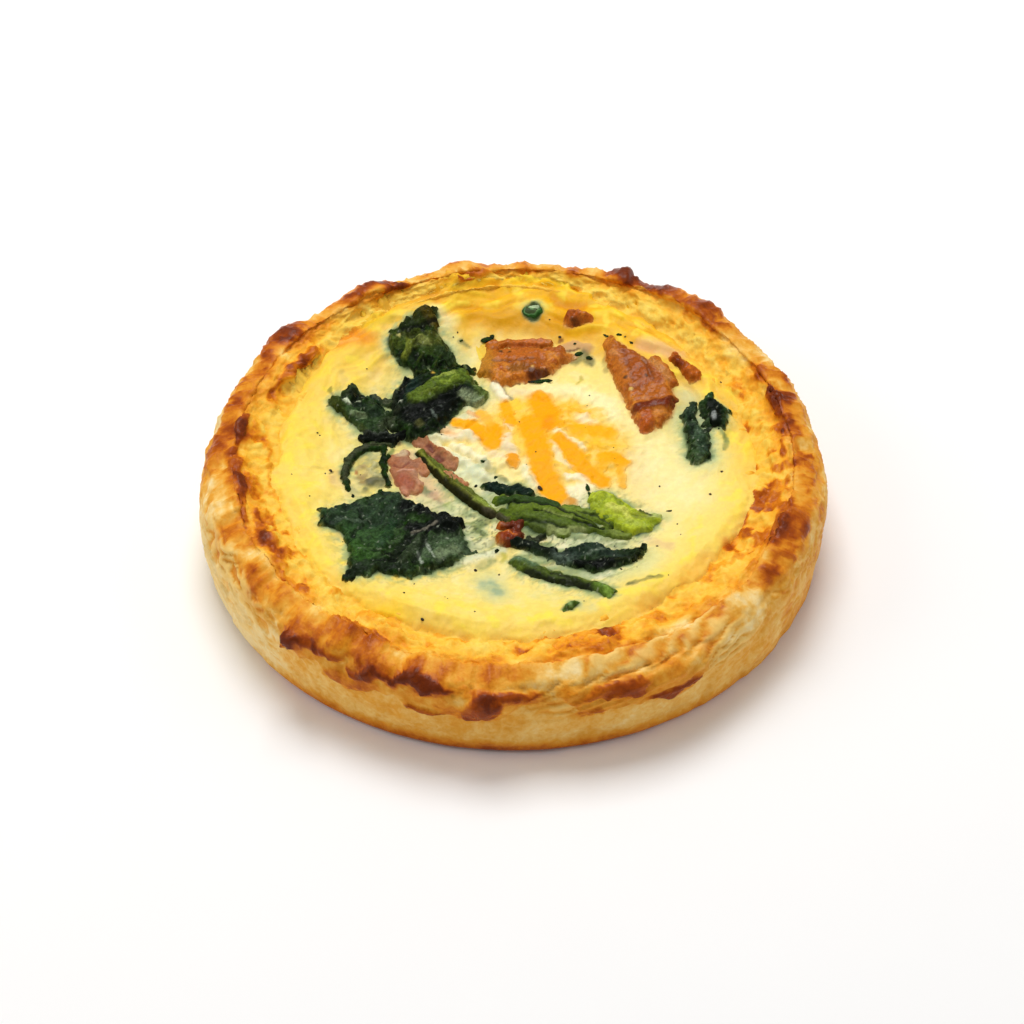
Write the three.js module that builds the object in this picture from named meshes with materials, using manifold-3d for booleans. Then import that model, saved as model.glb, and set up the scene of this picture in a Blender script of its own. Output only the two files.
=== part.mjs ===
// A single-serving spinach quiche: a puff pastry crust, baked egg custard, and the spinach, bacon,
// ham, cheddar and onion that lie on it.
// Millimetres, +Z up, +Y towards the back.  The origin is the centre of the base.
import * as THREE from "three";
import Module from "manifold-3d";
import { ImprovedNoise } from "three/addons/math/ImprovedNoise.js";
import { mergeVertices } from "three/addons/utils/BufferGeometryUtils.js";

// ---------------------------------------------------------------- driving dimensions
const FOOT_RADIUS = 58.7; // edge of the flat underside
const BELLY_RADIUS = 60.1; // widest part of the pastry wall
const BELLY_SHARE = 0.58; // its height, as a share of the rim height
const CREST_RADIUS = 55.0; // top of the rim
const RIM_HEIGHT = 19.6; // mean height of the rim
const RIM_LEAN = 1.9; // the rim is this much higher at the back and lower at the front
const FOOT_ROUND = 1.2; // width of the rounded lower corner
const FLOOR_THICKNESS = 4.2; // pastry under the custard
const CUSTARD_RADIUS = 43.4; // where the custard meets the rim, front and sides
const CUSTARD_SPREAD = 7.0; // the custard has risen this much further over the rim at the back
const CUSTARD_LEVEL = 14.6; // middle of the custard, away from the mound
const CUSTARD_LINE = 15.2; // height of its edge, front and sides
const CUSTARD_CLIMB = 3.3; // how much higher its edge is at the back
const MOUND = { x: 9, y: 6, height: 3.0, radius: 13 }; // hump under the cheddar
const GAP = 0.35; // clearance between neighbouring pieces

const AROUND = 140; // facets round the crust
const CUSTARD_AROUND = 70; // facets round the custard
const TURN = 2 * Math.PI;

// Blisters and crags of the baked rim.  place is 0 at the foot, 1 at the crest and 2 at the custard.
const CRAGS = [
  { at: 101, wide: 8, place: 0.92, long: 0.14, high: 0.7 },
  { at: 120, wide: 7, place: 0.98, long: 0.14, high: 0.7 },
  { at: 143, wide: 5, place: 0.84, long: 0.12, high: 1.1 },
  { at: 147, wide: 6, place: 1.36, long: 0.2, high: 1.2 },
  { at: 171, wide: 5, place: 1.12, long: 0.16, high: 0.8 },
  { at: 193, wide: 6, place: 1.1, long: 0.16, high: 0.9 },
  { at: 208, wide: 6, place: 1.26, long: 0.2, high: 0.7 },
  { at: 229, wide: 3, place: 0.86, long: 0.1, high: 1.9 },
  { at: 236, wide: 5, place: 1.0, long: 0.14, high: 0.9 },
  { at: 254, wide: 7, place: 0.88, long: 0.12, high: 1.3 },
  { at: 265, wide: 5, place: 0.8, long: 0.1, high: 1.5 },
  { at: 286, wide: 9, place: 1.42, long: 0.22, high: 0.5 },
  { at: 299, wide: 8, place: 0.8, long: 0.1, high: 1.3 },
  { at: 327, wide: 7, place: 1.0, long: 0.14, high: 0.7 },
  { at: 341, wide: 8, place: 1.04, long: 0.16, high: 1.0 },
  { at: 20, wide: 10, place: 1.12, long: 0.16, high: 0.8 },
  { at: 25, wide: 7, place: 0.82, long: 0.16, high: 0.8 },
  { at: 48, wide: 8, place: 0.95, long: 0.16, high: 1.9 },
  { at: 67, wide: 2.6, place: 0.96, long: 0.1, high: 1.5 },
];
const FLAKY = { at: 292, wide: 24, high: 0.5 }; // parted pastry layers at the front right

// ---------------------------------------------------------------- surfaces
const perlin = new ImprovedNoise();
const wobble = (x, y, z, size) => perlin.noise(x / size + 7.1, y / size + 3.3, z / size + 1.7);
const mix = (a, b, t) => a + (b - a) * t;
const smooth = (low, high, value) => THREE.MathUtils.smoothstep(value, low, high);

// A smooth hump of height 1 at one azimuth, in degrees.
function swell(theta, at, wide) {
  const degrees = THREE.MathUtils.radToDeg(theta) - at;
  const away = THREE.MathUtils.euclideanModulo(degrees + 180, 360) - 180;
  return Math.exp(-((away / wide) ** 2));
}

const rimHeight = (theta) => RIM_HEIGHT + RIM_LEAN * Math.sin(theta) + 0.35 * Math.sin(5 * theta + 2);
const custardEdge = (theta) =>
  CUSTARD_RADIUS + CUSTARD_SPREAD * swell(theta, 92, 46) + 0.5 * Math.sin(3 * theta + 1);
const custardEdgeHeight = (theta) => CUSTARD_LINE + CUSTARD_CLIMB * swell(theta, 92, 52);

// Height of the custard's upper surface.
function custardTop(x, y) {
  const theta = Math.atan2(y, x);
  const share = Math.hypot(x, y) / custardEdge(theta);
  const climb = Math.max(0, (share - 0.66) / 0.34) ** 2;
  const fromMound = Math.hypot(x - MOUND.x, y - MOUND.y) / MOUND.radius;
  const mound = MOUND.height * Math.exp(-(fromMound ** 2) / 2);
  const calm = 1 - smooth(0.9, 1, share);
  const ripple = 0.35 * calm * wobble(x, y, 0, 13);
  return mix(CUSTARD_LEVEL, custardEdgeHeight(theta), climb) + mound + ripple;
}

// A triangle mesh that is built up point by point.
class Shell {
  constructor() {
    this.positions = [];
    this.faces = [];
  }

  point(x, y, z) {
    this.positions.push(x, y, z);
    return this.positions.length / 3 - 1;
  }

  triangle(a, b, c) {
    this.faces.push(a, b, c);
  }

  quad(a, b, c, d) {
    this.triangle(a, b, c);
    this.triangle(a, c, d);
  }

  geometry() {
    const geometry = new THREE.BufferGeometry();
    geometry.setAttribute("position", new THREE.Float32BufferAttribute(this.positions, 3));
    geometry.setIndex(this.faces);
    geometry.computeVertexNormals();
    return geometry;
  }
}

// Closed body with one section for every azimuth, from a pole below to a pole above.
function revolve(section, lowPole, highPole, around) {
  const shell = new Shell();
  const columns = [];
  for (let j = 0; j < around; j += 1) {
    const theta = (TURN * j) / around;
    const column = section(theta).map(([r, z]) => shell.point(r * Math.cos(theta), r * Math.sin(theta), z));
    columns.push(column);
  }
  const low = shell.point(0, 0, lowPole);
  const high = shell.point(0, 0, highPole);
  const last = columns[0].length - 1;
  for (let j = 0; j < around; j += 1) {
    const here = columns[j];
    const next = columns[(j + 1) % around];
    shell.triangle(low, next[0], here[0]);
    for (let i = 0; i < last; i += 1) {
      shell.quad(here[i], next[i], next[i + 1], here[i + 1]);
    }
    shell.triangle(here[last], next[last], high);
  }
  return shell.geometry();
}

// ---------------------------------------------------------------- crust
const WALL_SHARES = [0.05, 0.2, 0.36, 0.52, 0.66, 0.76, 0.84, 0.91, 0.965, 1];
const SLOPE_SHARES = [0.12, 0.26, 0.42, 0.6, 0.8, 1];

function wallRadius(share) {
  if (share < BELLY_SHARE) {
    return mix(FOOT_RADIUS, BELLY_RADIUS, Math.sin((Math.PI / 2) * (share / BELLY_SHARE)) ** 0.8);
  }
  const up = (share - BELLY_SHARE) / (1 - BELLY_SHARE);
  return mix(CREST_RADIUS, BELLY_RADIUS, Math.sqrt(1 - up ** 2));
}

// How far the crust stands out from its plain section.
function relief(theta, place) {
  const x = 58 * Math.cos(theta);
  const y = 58 * Math.sin(theta);
  const along = 20 * place;
  const onRim = smooth(0.6, 0.85, place) * (1 - smooth(1.5, 1.9, place));
  const wall = 0.55 * wobble(x, y, along, 13) + 0.25 * wobble(x, y, along, 5);
  const crumple = onRim * (0.9 * wobble(x, y, along, 7.5) + 0.5 * wobble(y, x, along, 3.6));
  const crags = CRAGS.reduce((total, { at, wide, place: where, long, high }) => {
    return total + high * swell(theta, at, wide) * Math.exp(-(((place - where) / long) ** 2));
  }, 0);
  const steps = FLAKY.high * swell(theta, FLAKY.at, FLAKY.wide) * onRim * Math.sin(26 * place);
  const calm = smooth(0.02, 0.2, place) * (1 - smooth(1.8, 2, place));
  return calm * (wall + crumple + crags + steps);
}

function crustSection(theta) {
  const rim = rimHeight(theta);
  const edge = custardEdge(theta) + GAP;
  const line = custardEdgeHeight(theta);
  const plain = WALL_SHARES.map((share) => [wallRadius(share), rim * share, share]);
  for (const share of SLOPE_SHARES) {
    plain.push([mix(CREST_RADIUS, edge, share), mix(rim, line, share ** 1.4), 1 + share]);
  }
  const outside = plain.map(([r, z, place], i) => {
    const before = plain[Math.max(i - 1, 0)];
    const after = plain[Math.min(i + 1, plain.length - 1)];
    const length = Math.hypot(after[0] - before[0], after[1] - before[1]);
    const out = relief(theta, place);
    return [r + (out * (after[1] - before[1])) / length, z - (out * (after[0] - before[0])) / length];
  });
  const cup = [
    [edge, 0.6 * line],
    [edge - 0.6, FLOOR_THICKNESS],
  ];
  return [[FOOT_RADIUS - FOOT_ROUND, 0], ...outside, ...cup];
}

// ---------------------------------------------------------------- custard
const CUSTARD_RINGS = [1, 0.965, 0.92, 0.865, 0.8, 0.72, 0.63, 0.53, 0.43, 0.33, 0.22, 0.11];

function custardSection(theta) {
  const edge = custardEdge(theta);
  const below = [
    [edge - 0.6, FLOOR_THICKNESS + GAP],
    [edge, 0.6 * custardEdgeHeight(theta)],
  ];
  const top = CUSTARD_RINGS.map((share) => {
    const r = edge * share;
    return [r, custardTop(r * Math.cos(theta), r * Math.sin(theta))];
  });
  return [...below, ...top];
}

// ---------------------------------------------------------------- pieces that lie on the custard
const curve = (points) => new THREE.CatmullRomCurve3(points.map(([x, y]) => new THREE.Vector3(x, y, 0)));

// A piece draped over the custard between two edges, given as rows of x, y and x, y across it.
// rise lifts its middle, thick is its thickness and dome is how much thinner its edge is.
function drape({ edges, thick, rise = 0, dome = 0, ruffle = 0, ragged = 0, folds = [], rows, columns, seed = 0 }) {
  const one = curve(edges.map(([x, y]) => [x, y]));
  const other = curve(edges.map(([, , x, y]) => [x, y]));
  const shell = new Shell();
  const grid = { low: [], high: [] };
  for (let i = 0; i <= rows; i += 1) {
    const t = i / rows;
    const a = one.getPoint(t);
    const b = other.getPoint(t);
    const widen = ragged * wobble(i * 1.7, seed, 0, 1.9);
    const lows = [];
    const highs = [];
    for (let j = 0; j <= columns; j += 1) {
      const s = j / columns;
      const across = s + (2 * s - 1) * widen;
      const x = mix(a.x, b.x, across);
      const y = mix(a.y, b.y, across);
      const crown = Math.min(1, 1.6 * (4 * s * (1 - s)) ** 0.7) * Math.min(1, 1.8 * (4 * t * (1 - t)) ** 0.6);
      const wave = ruffle * (0.5 + wobble(x, y, seed * 10, 4.5));
      const low = custardTop(x, y) + GAP + rise * crown + Math.max(0, wave) + foldHeight(folds, x, y);
      lows.push(shell.point(x, y, low));
      highs.push(shell.point(x, y, low + thick * mix(1, 0.3 + 0.7 * crown, dome)));
    }
    grid.low.push(lows);
    grid.high.push(highs);
  }
  closeSheet(shell, grid.low, grid.high);
  return shell.geometry();
}

// Extra height from creases, each along a line from x, y to x, y.
function foldHeight(folds, x, y) {
  let height = 0;
  for (const { line, high, wide } of folds) {
    const start = new THREE.Vector2(line[0], line[1]);
    const span = new THREE.Vector2(line[2], line[3]).sub(start);
    const point = new THREE.Vector2(x, y).sub(start);
    const along = THREE.MathUtils.clamp(point.dot(span) / span.lengthSq(), 0, 1);
    height += high * Math.exp(-((point.sub(span.multiplyScalar(along)).length() / wide) ** 2));
  }
  return height;
}

// Joins two like grids of vertices into a closed sheet, whichever way round the grids run.
function closeSheet(shell, low, high) {
  const at = (index) => new THREE.Vector3().fromArray(shell.positions, 3 * index);
  const corner = at(high[0][0]);
  const down = at(high[high.length - 1][0]).sub(corner);
  const across = at(high[0][high[0].length - 1]).sub(corner);
  const [under, over] = down.cross(across).z > 0 ? [low, high] : [high, low];
  const rows = over.length - 1;
  const columns = over[0].length - 1;
  for (let i = 0; i < rows; i += 1) {
    for (let j = 0; j < columns; j += 1) {
      shell.quad(over[i][j], over[i + 1][j], over[i + 1][j + 1], over[i][j + 1]);
      shell.quad(under[i][j], under[i][j + 1], under[i + 1][j + 1], under[i + 1][j]);
    }
    shell.quad(under[i][0], under[i + 1][0], over[i + 1][0], over[i][0]);
    shell.quad(under[i + 1][columns], under[i][columns], over[i][columns], over[i + 1][columns]);
  }
  for (let j = 0; j < columns; j += 1) {
    shell.quad(under[0][j + 1], under[0][j], over[0][j], over[0][j + 1]);
    shell.quad(under[rows][j], under[rows][j + 1], over[rows][j + 1], over[rows][j]);
  }
}

// A stem or strand along a path of x, y, half width.
function stem({ path, flat = 0.8, rise = 0, steps, sides = 8 }) {
  const line = new THREE.CatmullRomCurve3(path.map(([x, y, half]) => new THREE.Vector3(x, y, half)));
  const shell = new Shell();
  const rings = [];
  for (let i = 0; i <= steps; i += 1) {
    const t = i / steps;
    const { x, y, z: half } = line.getPoint(t);
    const ahead = line.getTangent(t).setZ(0).normalize();
    const height = custardTop(x, y) + GAP + half * flat + rise;
    const ring = [];
    for (let k = 0; k < sides; k += 1) {
      const angle = (TURN * k) / sides;
      const aside = half * Math.cos(angle);
      ring.push(shell.point(x - ahead.y * aside, y + ahead.x * aside, height + half * flat * Math.sin(angle)));
    }
    rings.push({ ring, x, y, height });
  }
  const [first] = rings;
  const final = rings[steps];
  const start = shell.point(first.x, first.y, first.height);
  const end = shell.point(final.x, final.y, final.height);
  for (let k = 0; k < sides; k += 1) {
    const next = (k + 1) % sides;
    shell.triangle(start, first.ring[next], first.ring[k]);
    shell.triangle(end, final.ring[k], final.ring[next]);
    for (let i = 0; i < steps; i += 1) {
      shell.quad(rings[i].ring[k], rings[i].ring[next], rings[i + 1].ring[next], rings[i + 1].ring[k]);
    }
  }
  return shell.geometry();
}

// The two edges of a strip of even width along a path of x, y, half width.
function strip(path) {
  const line = new THREE.CatmullRomCurve3(path.map(([x, y, half]) => new THREE.Vector3(x, y, half)));
  return path.map((_, i) => {
    const t = i / (path.length - 1);
    const { x, y, z: half } = line.getPoint(t);
    const ahead = line.getTangent(t).setZ(0).normalize();
    return [x - ahead.y * half, y + ahead.x * half, x + ahead.y * half, y - ahead.x * half];
  });
}

// ---------------------------------------------------------------- joining
const wasm = await Module();
wasm.setup();

function solid(geometry) {
  const bare = geometry.clone();
  bare.deleteAttribute("normal");
  bare.deleteAttribute("uv");
  const merged = mergeVertices(bare, 1e-4);
  const vertProperties = new Float32Array(merged.attributes.position.array);
  const triVerts = new Uint32Array(merged.index.array);
  return new wasm.Manifold(new wasm.Mesh({ numProp: 3, vertProperties, triVerts }));
}

function fuse(...geometries) {
  const mesh = geometries.map(solid).reduce((whole, piece) => whole.add(piece)).getMesh();
  const geometry = new THREE.BufferGeometry();
  geometry.setAttribute("position", new THREE.Float32BufferAttribute(mesh.vertProperties, 3));
  geometry.setIndex([...mesh.triVerts]);
  geometry.computeVertexNormals();
  return geometry;
}

// ---------------------------------------------------------------- spinach
const LEAVES = {
  leaf_back: {
    edges: [
      [-22.3, 29.4, -11.8, 31.0],
      [-24.4, 33.2, -12.2, 34.6],
      [-25.4, 36.0, -14.7, 38.0],
      [-21.8, 40.4, -15.3, 40.8],
      [-17.0, 44.6, -15.0, 44.0],
    ],
    thick: 0.9,
    ruffle: 0.8,
    ragged: 0.05,
    rows: 10,
    columns: 6,
    seed: 1,
  },
  leaf_left: {
    edges: [
      [-36.2, 18.6, -36.3, 16.6],
      [-34.0, 19.4, -34.3, 15.2],
      [-31.6, 22.4, -32.0, 13.2],
      [-28.6, 19.8, -28.8, 11.0],
      [-27.0, 20.6, -26.6, 10.2],
      [-25.4, 18.0, -24.2, 9.8],
    ],
    thick: 0.9,
    ruffle: 1.0,
    rows: 10,
    columns: 6,
    seed: 2,
  },
  leaf_front: {
    edges: [
      [-36.4, -14.2, -35.7, -17.4],
      [-33.4, -11.5, -32.9, -18.6],
      [-30.0, -8.8, -30.6, -22.0],
      [-26.4, -6.2, -30.3, -31.4],
      [-22.9, -5.2, -24.6, -30.2],
      [-20.4, -8.0, -19.6, -29.9],
      [-16.3, -11.0, -14.6, -27.6],
      [-12.8, -13.2, -11.0, -25.2],
      [-9.8, -15.0, -8.2, -21.3],
    ],
    thick: 1.0,
    rise: 0.3,
    ruffle: 0.9,
    ragged: 0.03,
    folds: [
      { line: [-21.6, -27.5, -18.4, -19.0], high: 0.9, wide: 1.6 },
      { line: [-18.4, -19.0, -10.4, -16.2], high: 1.5, wide: 1.9 },
    ],
    rows: 14,
    columns: 8,
    seed: 3,
  },
  leaf_scrap: {
    edges: [
      [-2.9, -6.0, -2.7, -7.0],
      [-0.6, -4.8, -0.4, -7.2],
      [1.7, -4.8, 1.9, -7.2],
      [3.3, -5.9, 3.3, -7.2],
    ],
    thick: 1.0,
    ruffle: 0.4,
    rows: 5,
    columns: 3,
    seed: 4,
  },
  leaf_lime: {
    edges: [
      [14.4, -10.4, 14.6, -12.4],
      [15.2, -7.2, 16.4, -14.4],
      [17.7, -6.6, 18.8, -16.0],
      [20.5, -8.8, 21.8, -18.0],
      [22.9, -10.9, 24.0, -17.5],
      [25.5, -12.6, 26.1, -16.2],
      [28.3, -13.0, 28.4, -13.9],
    ],
    thick: 1.1,
    rise: 0.5,
    ruffle: 1.0,
    rows: 11,
    columns: 6,
    seed: 5,
  },
  leaf_strip: {
    edges: [
      [2.7, -20.6, 2.6, -21.9],
      [6.7, -21.4, 6.3, -23.4],
      [9.1, -22.2, 8.9, -24.9],
      [12.0, -20.9, 11.2, -26.3],
      [15.6, -20.7, 15.4, -28.3],
      [19.0, -22.4, 18.8, -27.6],
      [21.7, -22.6, 22.1, -26.0],
      [23.9, -21.7, 24.1, -23.2],
    ],
    thick: 0.9,
    rise: 0.3,
    ruffle: 0.8,
    rows: 13,
    columns: 4,
    seed: 6,
  },
  leaf_right_inner: {
    edges: [
      [34.4, 17.4, 35.3, 17.1],
      [33.4, 14.2, 35.4, 14.0],
      [33.0, 11.3, 36.2, 11.8],
      [33.5, 8.4, 37.2, 9.3],
      [33.8, 5.6, 37.8, 6.6],
      [33.5, 3.0, 38.2, 4.4],
      [35.0, 0.6, 38.0, 1.6],
    ],
    thick: 0.9,
    ruffle: 0.8,
    rows: 12,
    columns: 4,
    seed: 7,
  },
  leaf_right_outer: {
    edges: [
      [36.8, 17.4, 38.2, 18.0],
      [37.5, 14.9, 41.2, 16.2],
      [37.9, 12.4, 42.0, 13.0],
      [38.6, 10.2, 41.4, 10.6],
    ],
    thick: 0.9,
    rise: 0.5,
    ruffle: 0.9,
    rows: 6,
    columns: 4,
    seed: 8,
  },
};

const STEMS = {
  strand_arch: {
    path: [
      [-25.6, 6.8, 0.8],
      [-28.2, 6.8, 0.85],
      [-30.4, 4.7, 0.8],
      [-31.7, 2.0, 0.8],
      [-32.4, -1.0, 0.8],
      [-32.2, -4.4, 0.5],
    ],
    steps: 14,
    sides: 7,
  },
  strand_short: {
    path: [
      [-23.8, 5.6, 0.5],
      [-24.8, 3.0, 0.6],
      [-24.8, 0.4, 0.6],
      [-24.5, -2.1, 0.5],
    ],
    steps: 7,
    sides: 6,
  },
  stem_long: {
    path: [
      [-18.3, 5.9, 0.95],
      [-16.2, 2.3, 1.05],
      [-13.2, -2.2, 1.2],
      [-9.5, -6.7, 1.3],
      [-6.2, -10.4, 1.3],
      [-3.4, -12.8, 1.1],
    ],
    flat: 0.7,
    steps: 16,
  },
  stem_front: {
    path: [
      [-0.5, -23.8, 1.3],
      [3.9, -26.9, 1.6],
      [9.3, -29.9, 1.6],
      [14.4, -32.5, 1.5],
      [18.6, -35.6, 1.4],
    ],
    flat: 0.6,
    steps: 12,
  },
  leaf_crumb: {
    path: [
      [8.9, -40.0, 0.5],
      [10.4, -38.6, 1.1],
      [11.9, -37.0, 0.6],
    ],
    flat: 0.6,
    steps: 5,
    sides: 7,
  },
};

// The darkest clump, folded over itself, with its pale green stem.
function leafBundle() {
  const leaf = drape({
    edges: [
      [-21.2, 8.6, -15.6, 9.4],
      [-22.4, 11.0, -13.6, 11.4],
      [-23.6, 14.4, -11.6, 15.0],
      [-24.0, 18.2, -9.8, 18.9],
      [-23.7, 22.3, -7.9, 21.6],
      [-22.4, 25.3, -7.4, 24.4],
      [-20.4, 27.2, -8.4, 27.4],
      [-16.6, 28.7, -11.4, 28.9],
    ],
    thick: 1.7,
    rise: 0.9,
    dome: 0.5,
    ruffle: 0.6,
    folds: [{ line: [-21.5, 13.0, -19.5, 26.0], high: 0.6, wide: 1.8 }],
    rows: 12,
    columns: 7,
    seed: 9,
  });
  const stalk = stem({
    path: [
      [-18.0, 16.3, 0.9],
      [-14.3, 18.8, 1.2],
      [-10.8, 20.5, 1.4],
      [-7.5, 21.5, 1.6],
      [-4.8, 21.6, 1.5],
    ],
    rise: 1.5,
    steps: 9,
  });
  return fuse(leaf, stalk);
}

// Side-by-side stems baked into one bundle.
function stemBundle() {
  const core = drape({
    edges: [
      [-1.4, -8.6, -1.2, -11.8],
      [1.4, -8.8, 1.5, -15.2],
      [5.3, -9.9, 5.0, -17.7],
      [9.2, -11.3, 8.8, -17.6],
      [13.0, -12.5, 13.2, -17.2],
      [15.0, -14.4, 16.0, -18.0],
      [17.0, -17.0, 18.4, -18.7],
    ],
    thick: 1.1,
    dome: 0.6,
    rows: 12,
    columns: 5,
    seed: 10,
  });
  const strands = [
    [[-1.0, -9.6, 0.5], [4.0, -10.9, 0.6], [9.0, -12.6, 0.7], [13.6, -14.4, 0.5]],
    [[-0.8, -11.0, 0.5], [4.0, -12.9, 0.8], [9.0, -14.4, 0.8], [14.8, -16.0, 0.6]],
    [[0.6, -12.9, 0.5], [5.0, -15.2, 0.7], [10.0, -16.2, 0.7], [16.6, -17.5, 0.5]],
  ].map((path) => stem({ path, rise: 0.6, steps: 6, sides: 5 }));
  return fuse(core, ...strands);
}

// ---------------------------------------------------------------- bacon, ham and onion
const MEAT = {
  bacon_back: {
    edges: [
      [-6.3, 29.4, -6.1, 27.6],
      [-5.5, 32.6, -4.4, 25.4],
      [-3.6, 35.6, -2.0, 24.0],
      [0.6, 36.2, 2.0, 24.8],
      [4.0, 36.0, 4.6, 25.8],
      [8.2, 34.8, 8.0, 28.0],
      [10.8, 34.2, 10.2, 31.2],
      [13.6, 34.2, 13.7, 33.0],
    ],
    thick: 2.6,
    seed: 11,
  },
  bacon_bit_back: {
    edges: [
      [9.8, 40.9, 10.0, 39.8],
      [11.0, 43.2, 11.4, 39.6],
      [13.4, 43.0, 13.6, 40.2],
      [16.0, 42.2, 16.0, 40.2],
    ],
    thick: 1.6,
    seed: 12,
  },
  bacon_right: {
    edges: [
      [18.2, 34.6, 20.2, 35.6],
      [18.6, 30.5, 24.1, 32.3],
      [19.8, 26.2, 28.0, 28.2],
      [21.2, 21.0, 30.4, 24.0],
      [22.8, 15.9, 32.0, 19.8],
      [24.2, 11.8, 31.4, 14.8],
      [25.4, 9.2, 28.2, 11.2],
    ],
    thick: 2.4,
    seed: 13,
  },
  bacon_bit_right: {
    edges: [
      [31.6, 29.2, 32.6, 30.0],
      [32.5, 26.4, 34.4, 28.2],
      [33.9, 24.0, 36.1, 25.4],
      [35.2, 22.4, 37.2, 23.6],
    ],
    thick: 1.5,
    seed: 14,
  },
  bacon_bit_front: {
    edges: [
      [-3.4, -17.2, -3.2, -20.2],
      [-1.3, -16.9, -1.1, -20.9],
      [0.9, -16.9, 0.7, -20.6],
      [2.3, -17.3, 1.9, -19.2],
    ],
    thick: 2.4,
    seed: 15,
  },
  ham_chunk: {
    edges: [
      [-23.1, 3.1, -23.4, -0.6],
      [-21.9, 4.1, -22.8, -3.2],
      [-20.4, 4.0, -21.4, -4.4],
      [-18.9, 3.0, -19.8, -5.2],
      [-17.9, 0.7, -18.6, -4.0],
    ],
    thick: 1.2,
    seed: 16,
  },
};
const HAM_SLIVER = [
  [-16.4, 7.6, 0.5],
  [-14.8, 5.8, 0.7],
  [-12.6, 3.4, 0.7],
  [-10.2, 0.9, 0.5],
];

const chunk = (piece) => drape({ dome: 0.9, ragged: 0.03, rows: 7, columns: 4, ...piece });

// A slice of green onion: a short ring with a sunken middle, leaning with the custard.
const ONION = { x: 3.9, y: 44.4, radius: 2.15, thick: 1.2, lean: 0.3 };

function onionSlice() {
  const { radius, thick } = ONION;
  const profile = [
    [0, 0],
    [0.88 * radius, 0],
    [radius, 0.3 * thick],
    [radius, 0.7 * thick],
    [0.85 * radius, thick],
    [0.6 * radius, 0.9 * thick],
    [0.4 * radius, 0.6 * thick],
    [0, 0.55 * thick],
  ];
  const geometry = new THREE.LatheGeometry(profile.map(([r, z]) => new THREE.Vector2(r, z)), 16);
  geometry.rotateX(Math.PI / 2 + ONION.lean);
  geometry.translate(ONION.x, ONION.y, custardTop(ONION.x, ONION.y) + GAP + 0.1);
  return geometry;
}

// ---------------------------------------------------------------- cheddar
const SHREDS = [
  [[6.3, 19.6, 1.2], [6.2, 13.8, 2.0], [5.4, 8.0, 2.2], [5.4, 1.6, 2.2], [6.4, -3.6, 2.0], [8.0, -7.2, 1.2]],
  [[9.0, 7.2, 1.2], [11.3, 4.2, 1.7], [13.8, 1.1, 1.6], [16.6, -2.4, 1.2]],
  [[19.2, 5.4, 1.0], [20.2, 1.6, 1.7], [19.0, -1.8, 1.5], [15.6, -1.6, 1.0]],
  [[10.4, 15.8, 1.2], [14.0, 13.4, 2.0], [17.3, 9.6, 2.0], [19.4, 4.2, 1.3]],
];
const CHEDDAR_LEFT = [
  [-11.4, 13.3, -11.3, 12.0],
  [-8.8, 14.2, -8.6, 10.8],
  [-6.2, 13.4, -6.2, 8.0],
  [-4.0, 11.7, -4.3, 5.6],
  [-2.3, 10.1, -2.5, 7.4],
];
const CHEDDAR_STRAND = [
  [-1.6, 9.2, 0.9],
  [-1.0, 14.4, 0.9],
  [-0.7, 19.4, 0.5],
];

function cheddarRight() {
  const [first, ...others] = SHREDS.map((path, i) =>
    drape({ edges: strip(path), thick: 0.9, dome: 0.3, rows: 8, columns: 2, seed: 20 + i }),
  );
  const bridge = stem({ path: [[6.0, 9.0, 0.8], [8.4, 8.0, 0.8], [10.6, 5.0, 0.8]], flat: 0.5, steps: 3, sides: 6 });
  return fuse(first, ...others, bridge);
}

function cheddarLeft() {
  const patch = drape({ edges: CHEDDAR_LEFT, thick: 0.9, dome: 0.3, rows: 6, columns: 3, seed: 25 });
  const strand = drape({ edges: strip(CHEDDAR_STRAND), thick: 0.9, dome: 0.3, rows: 5, columns: 2, seed: 26 });
  const bridge = stem({ path: [[-3.6, 9.0, 0.6], [-1.2, 10.0, 0.6]], flat: 0.5, steps: 2, sides: 6 });
  return fuse(patch, strand, bridge);
}

// ---------------------------------------------------------------- assembly
const finish = (color, roughness) => new THREE.MeshStandardMaterial({ color, roughness, metalness: 0 });
const FINISHES = {
  pastry: finish(0xd9a253, 0.62),
  custard: finish(0xf6dc78, 0.42),
  spinach: finish(0x1d3a22, 0.4),
  stalk: finish(0x6b8f2a, 0.42),
  lime: finish(0x9dba33, 0.42),
  bacon: finish(0xb26a35, 0.45),
  ham: finish(0xb87a66, 0.45),
  cheddar: finish(0xffb21a, 0.4),
  onion: finish(0x2f6a22, 0.4),
};

const quiche = new THREE.Group();

function add(name, geometry, material) {
  const mesh = new THREE.Mesh(geometry, material);
  mesh.name = name;
  quiche.add(mesh);
}

add("crust", revolve(crustSection, 0, FLOOR_THICKNESS, AROUND), FINISHES.pastry);
const middle = custardTop(0, 0);
add("custard", revolve(custardSection, FLOOR_THICKNESS + GAP, middle, CUSTARD_AROUND), FINISHES.custard);
for (const [name, leaf] of Object.entries(LEAVES)) {
  add(name, drape(leaf), name === "leaf_lime" ? FINISHES.lime : FINISHES.spinach);
}
for (const [name, strand] of Object.entries(STEMS)) {
  add(name, stem(strand), FINISHES.stalk);
}
add("leaf_bundle", leafBundle(), FINISHES.spinach);
add("stem_bundle", stemBundle(), FINISHES.stalk);
for (const [name, piece] of Object.entries(MEAT)) {
  add(name, chunk(piece), name === "ham_chunk" ? FINISHES.ham : FINISHES.bacon);
}
add("ham_sliver", stem({ path: HAM_SLIVER, steps: 6, sides: 6 }), FINISHES.ham);
add("onion_slice", onionSlice(), FINISHES.onion);
add("cheddar_right", cheddarRight(), FINISHES.cheddar);
add("cheddar_left", cheddarLeft(), FINISHES.cheddar);

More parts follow.
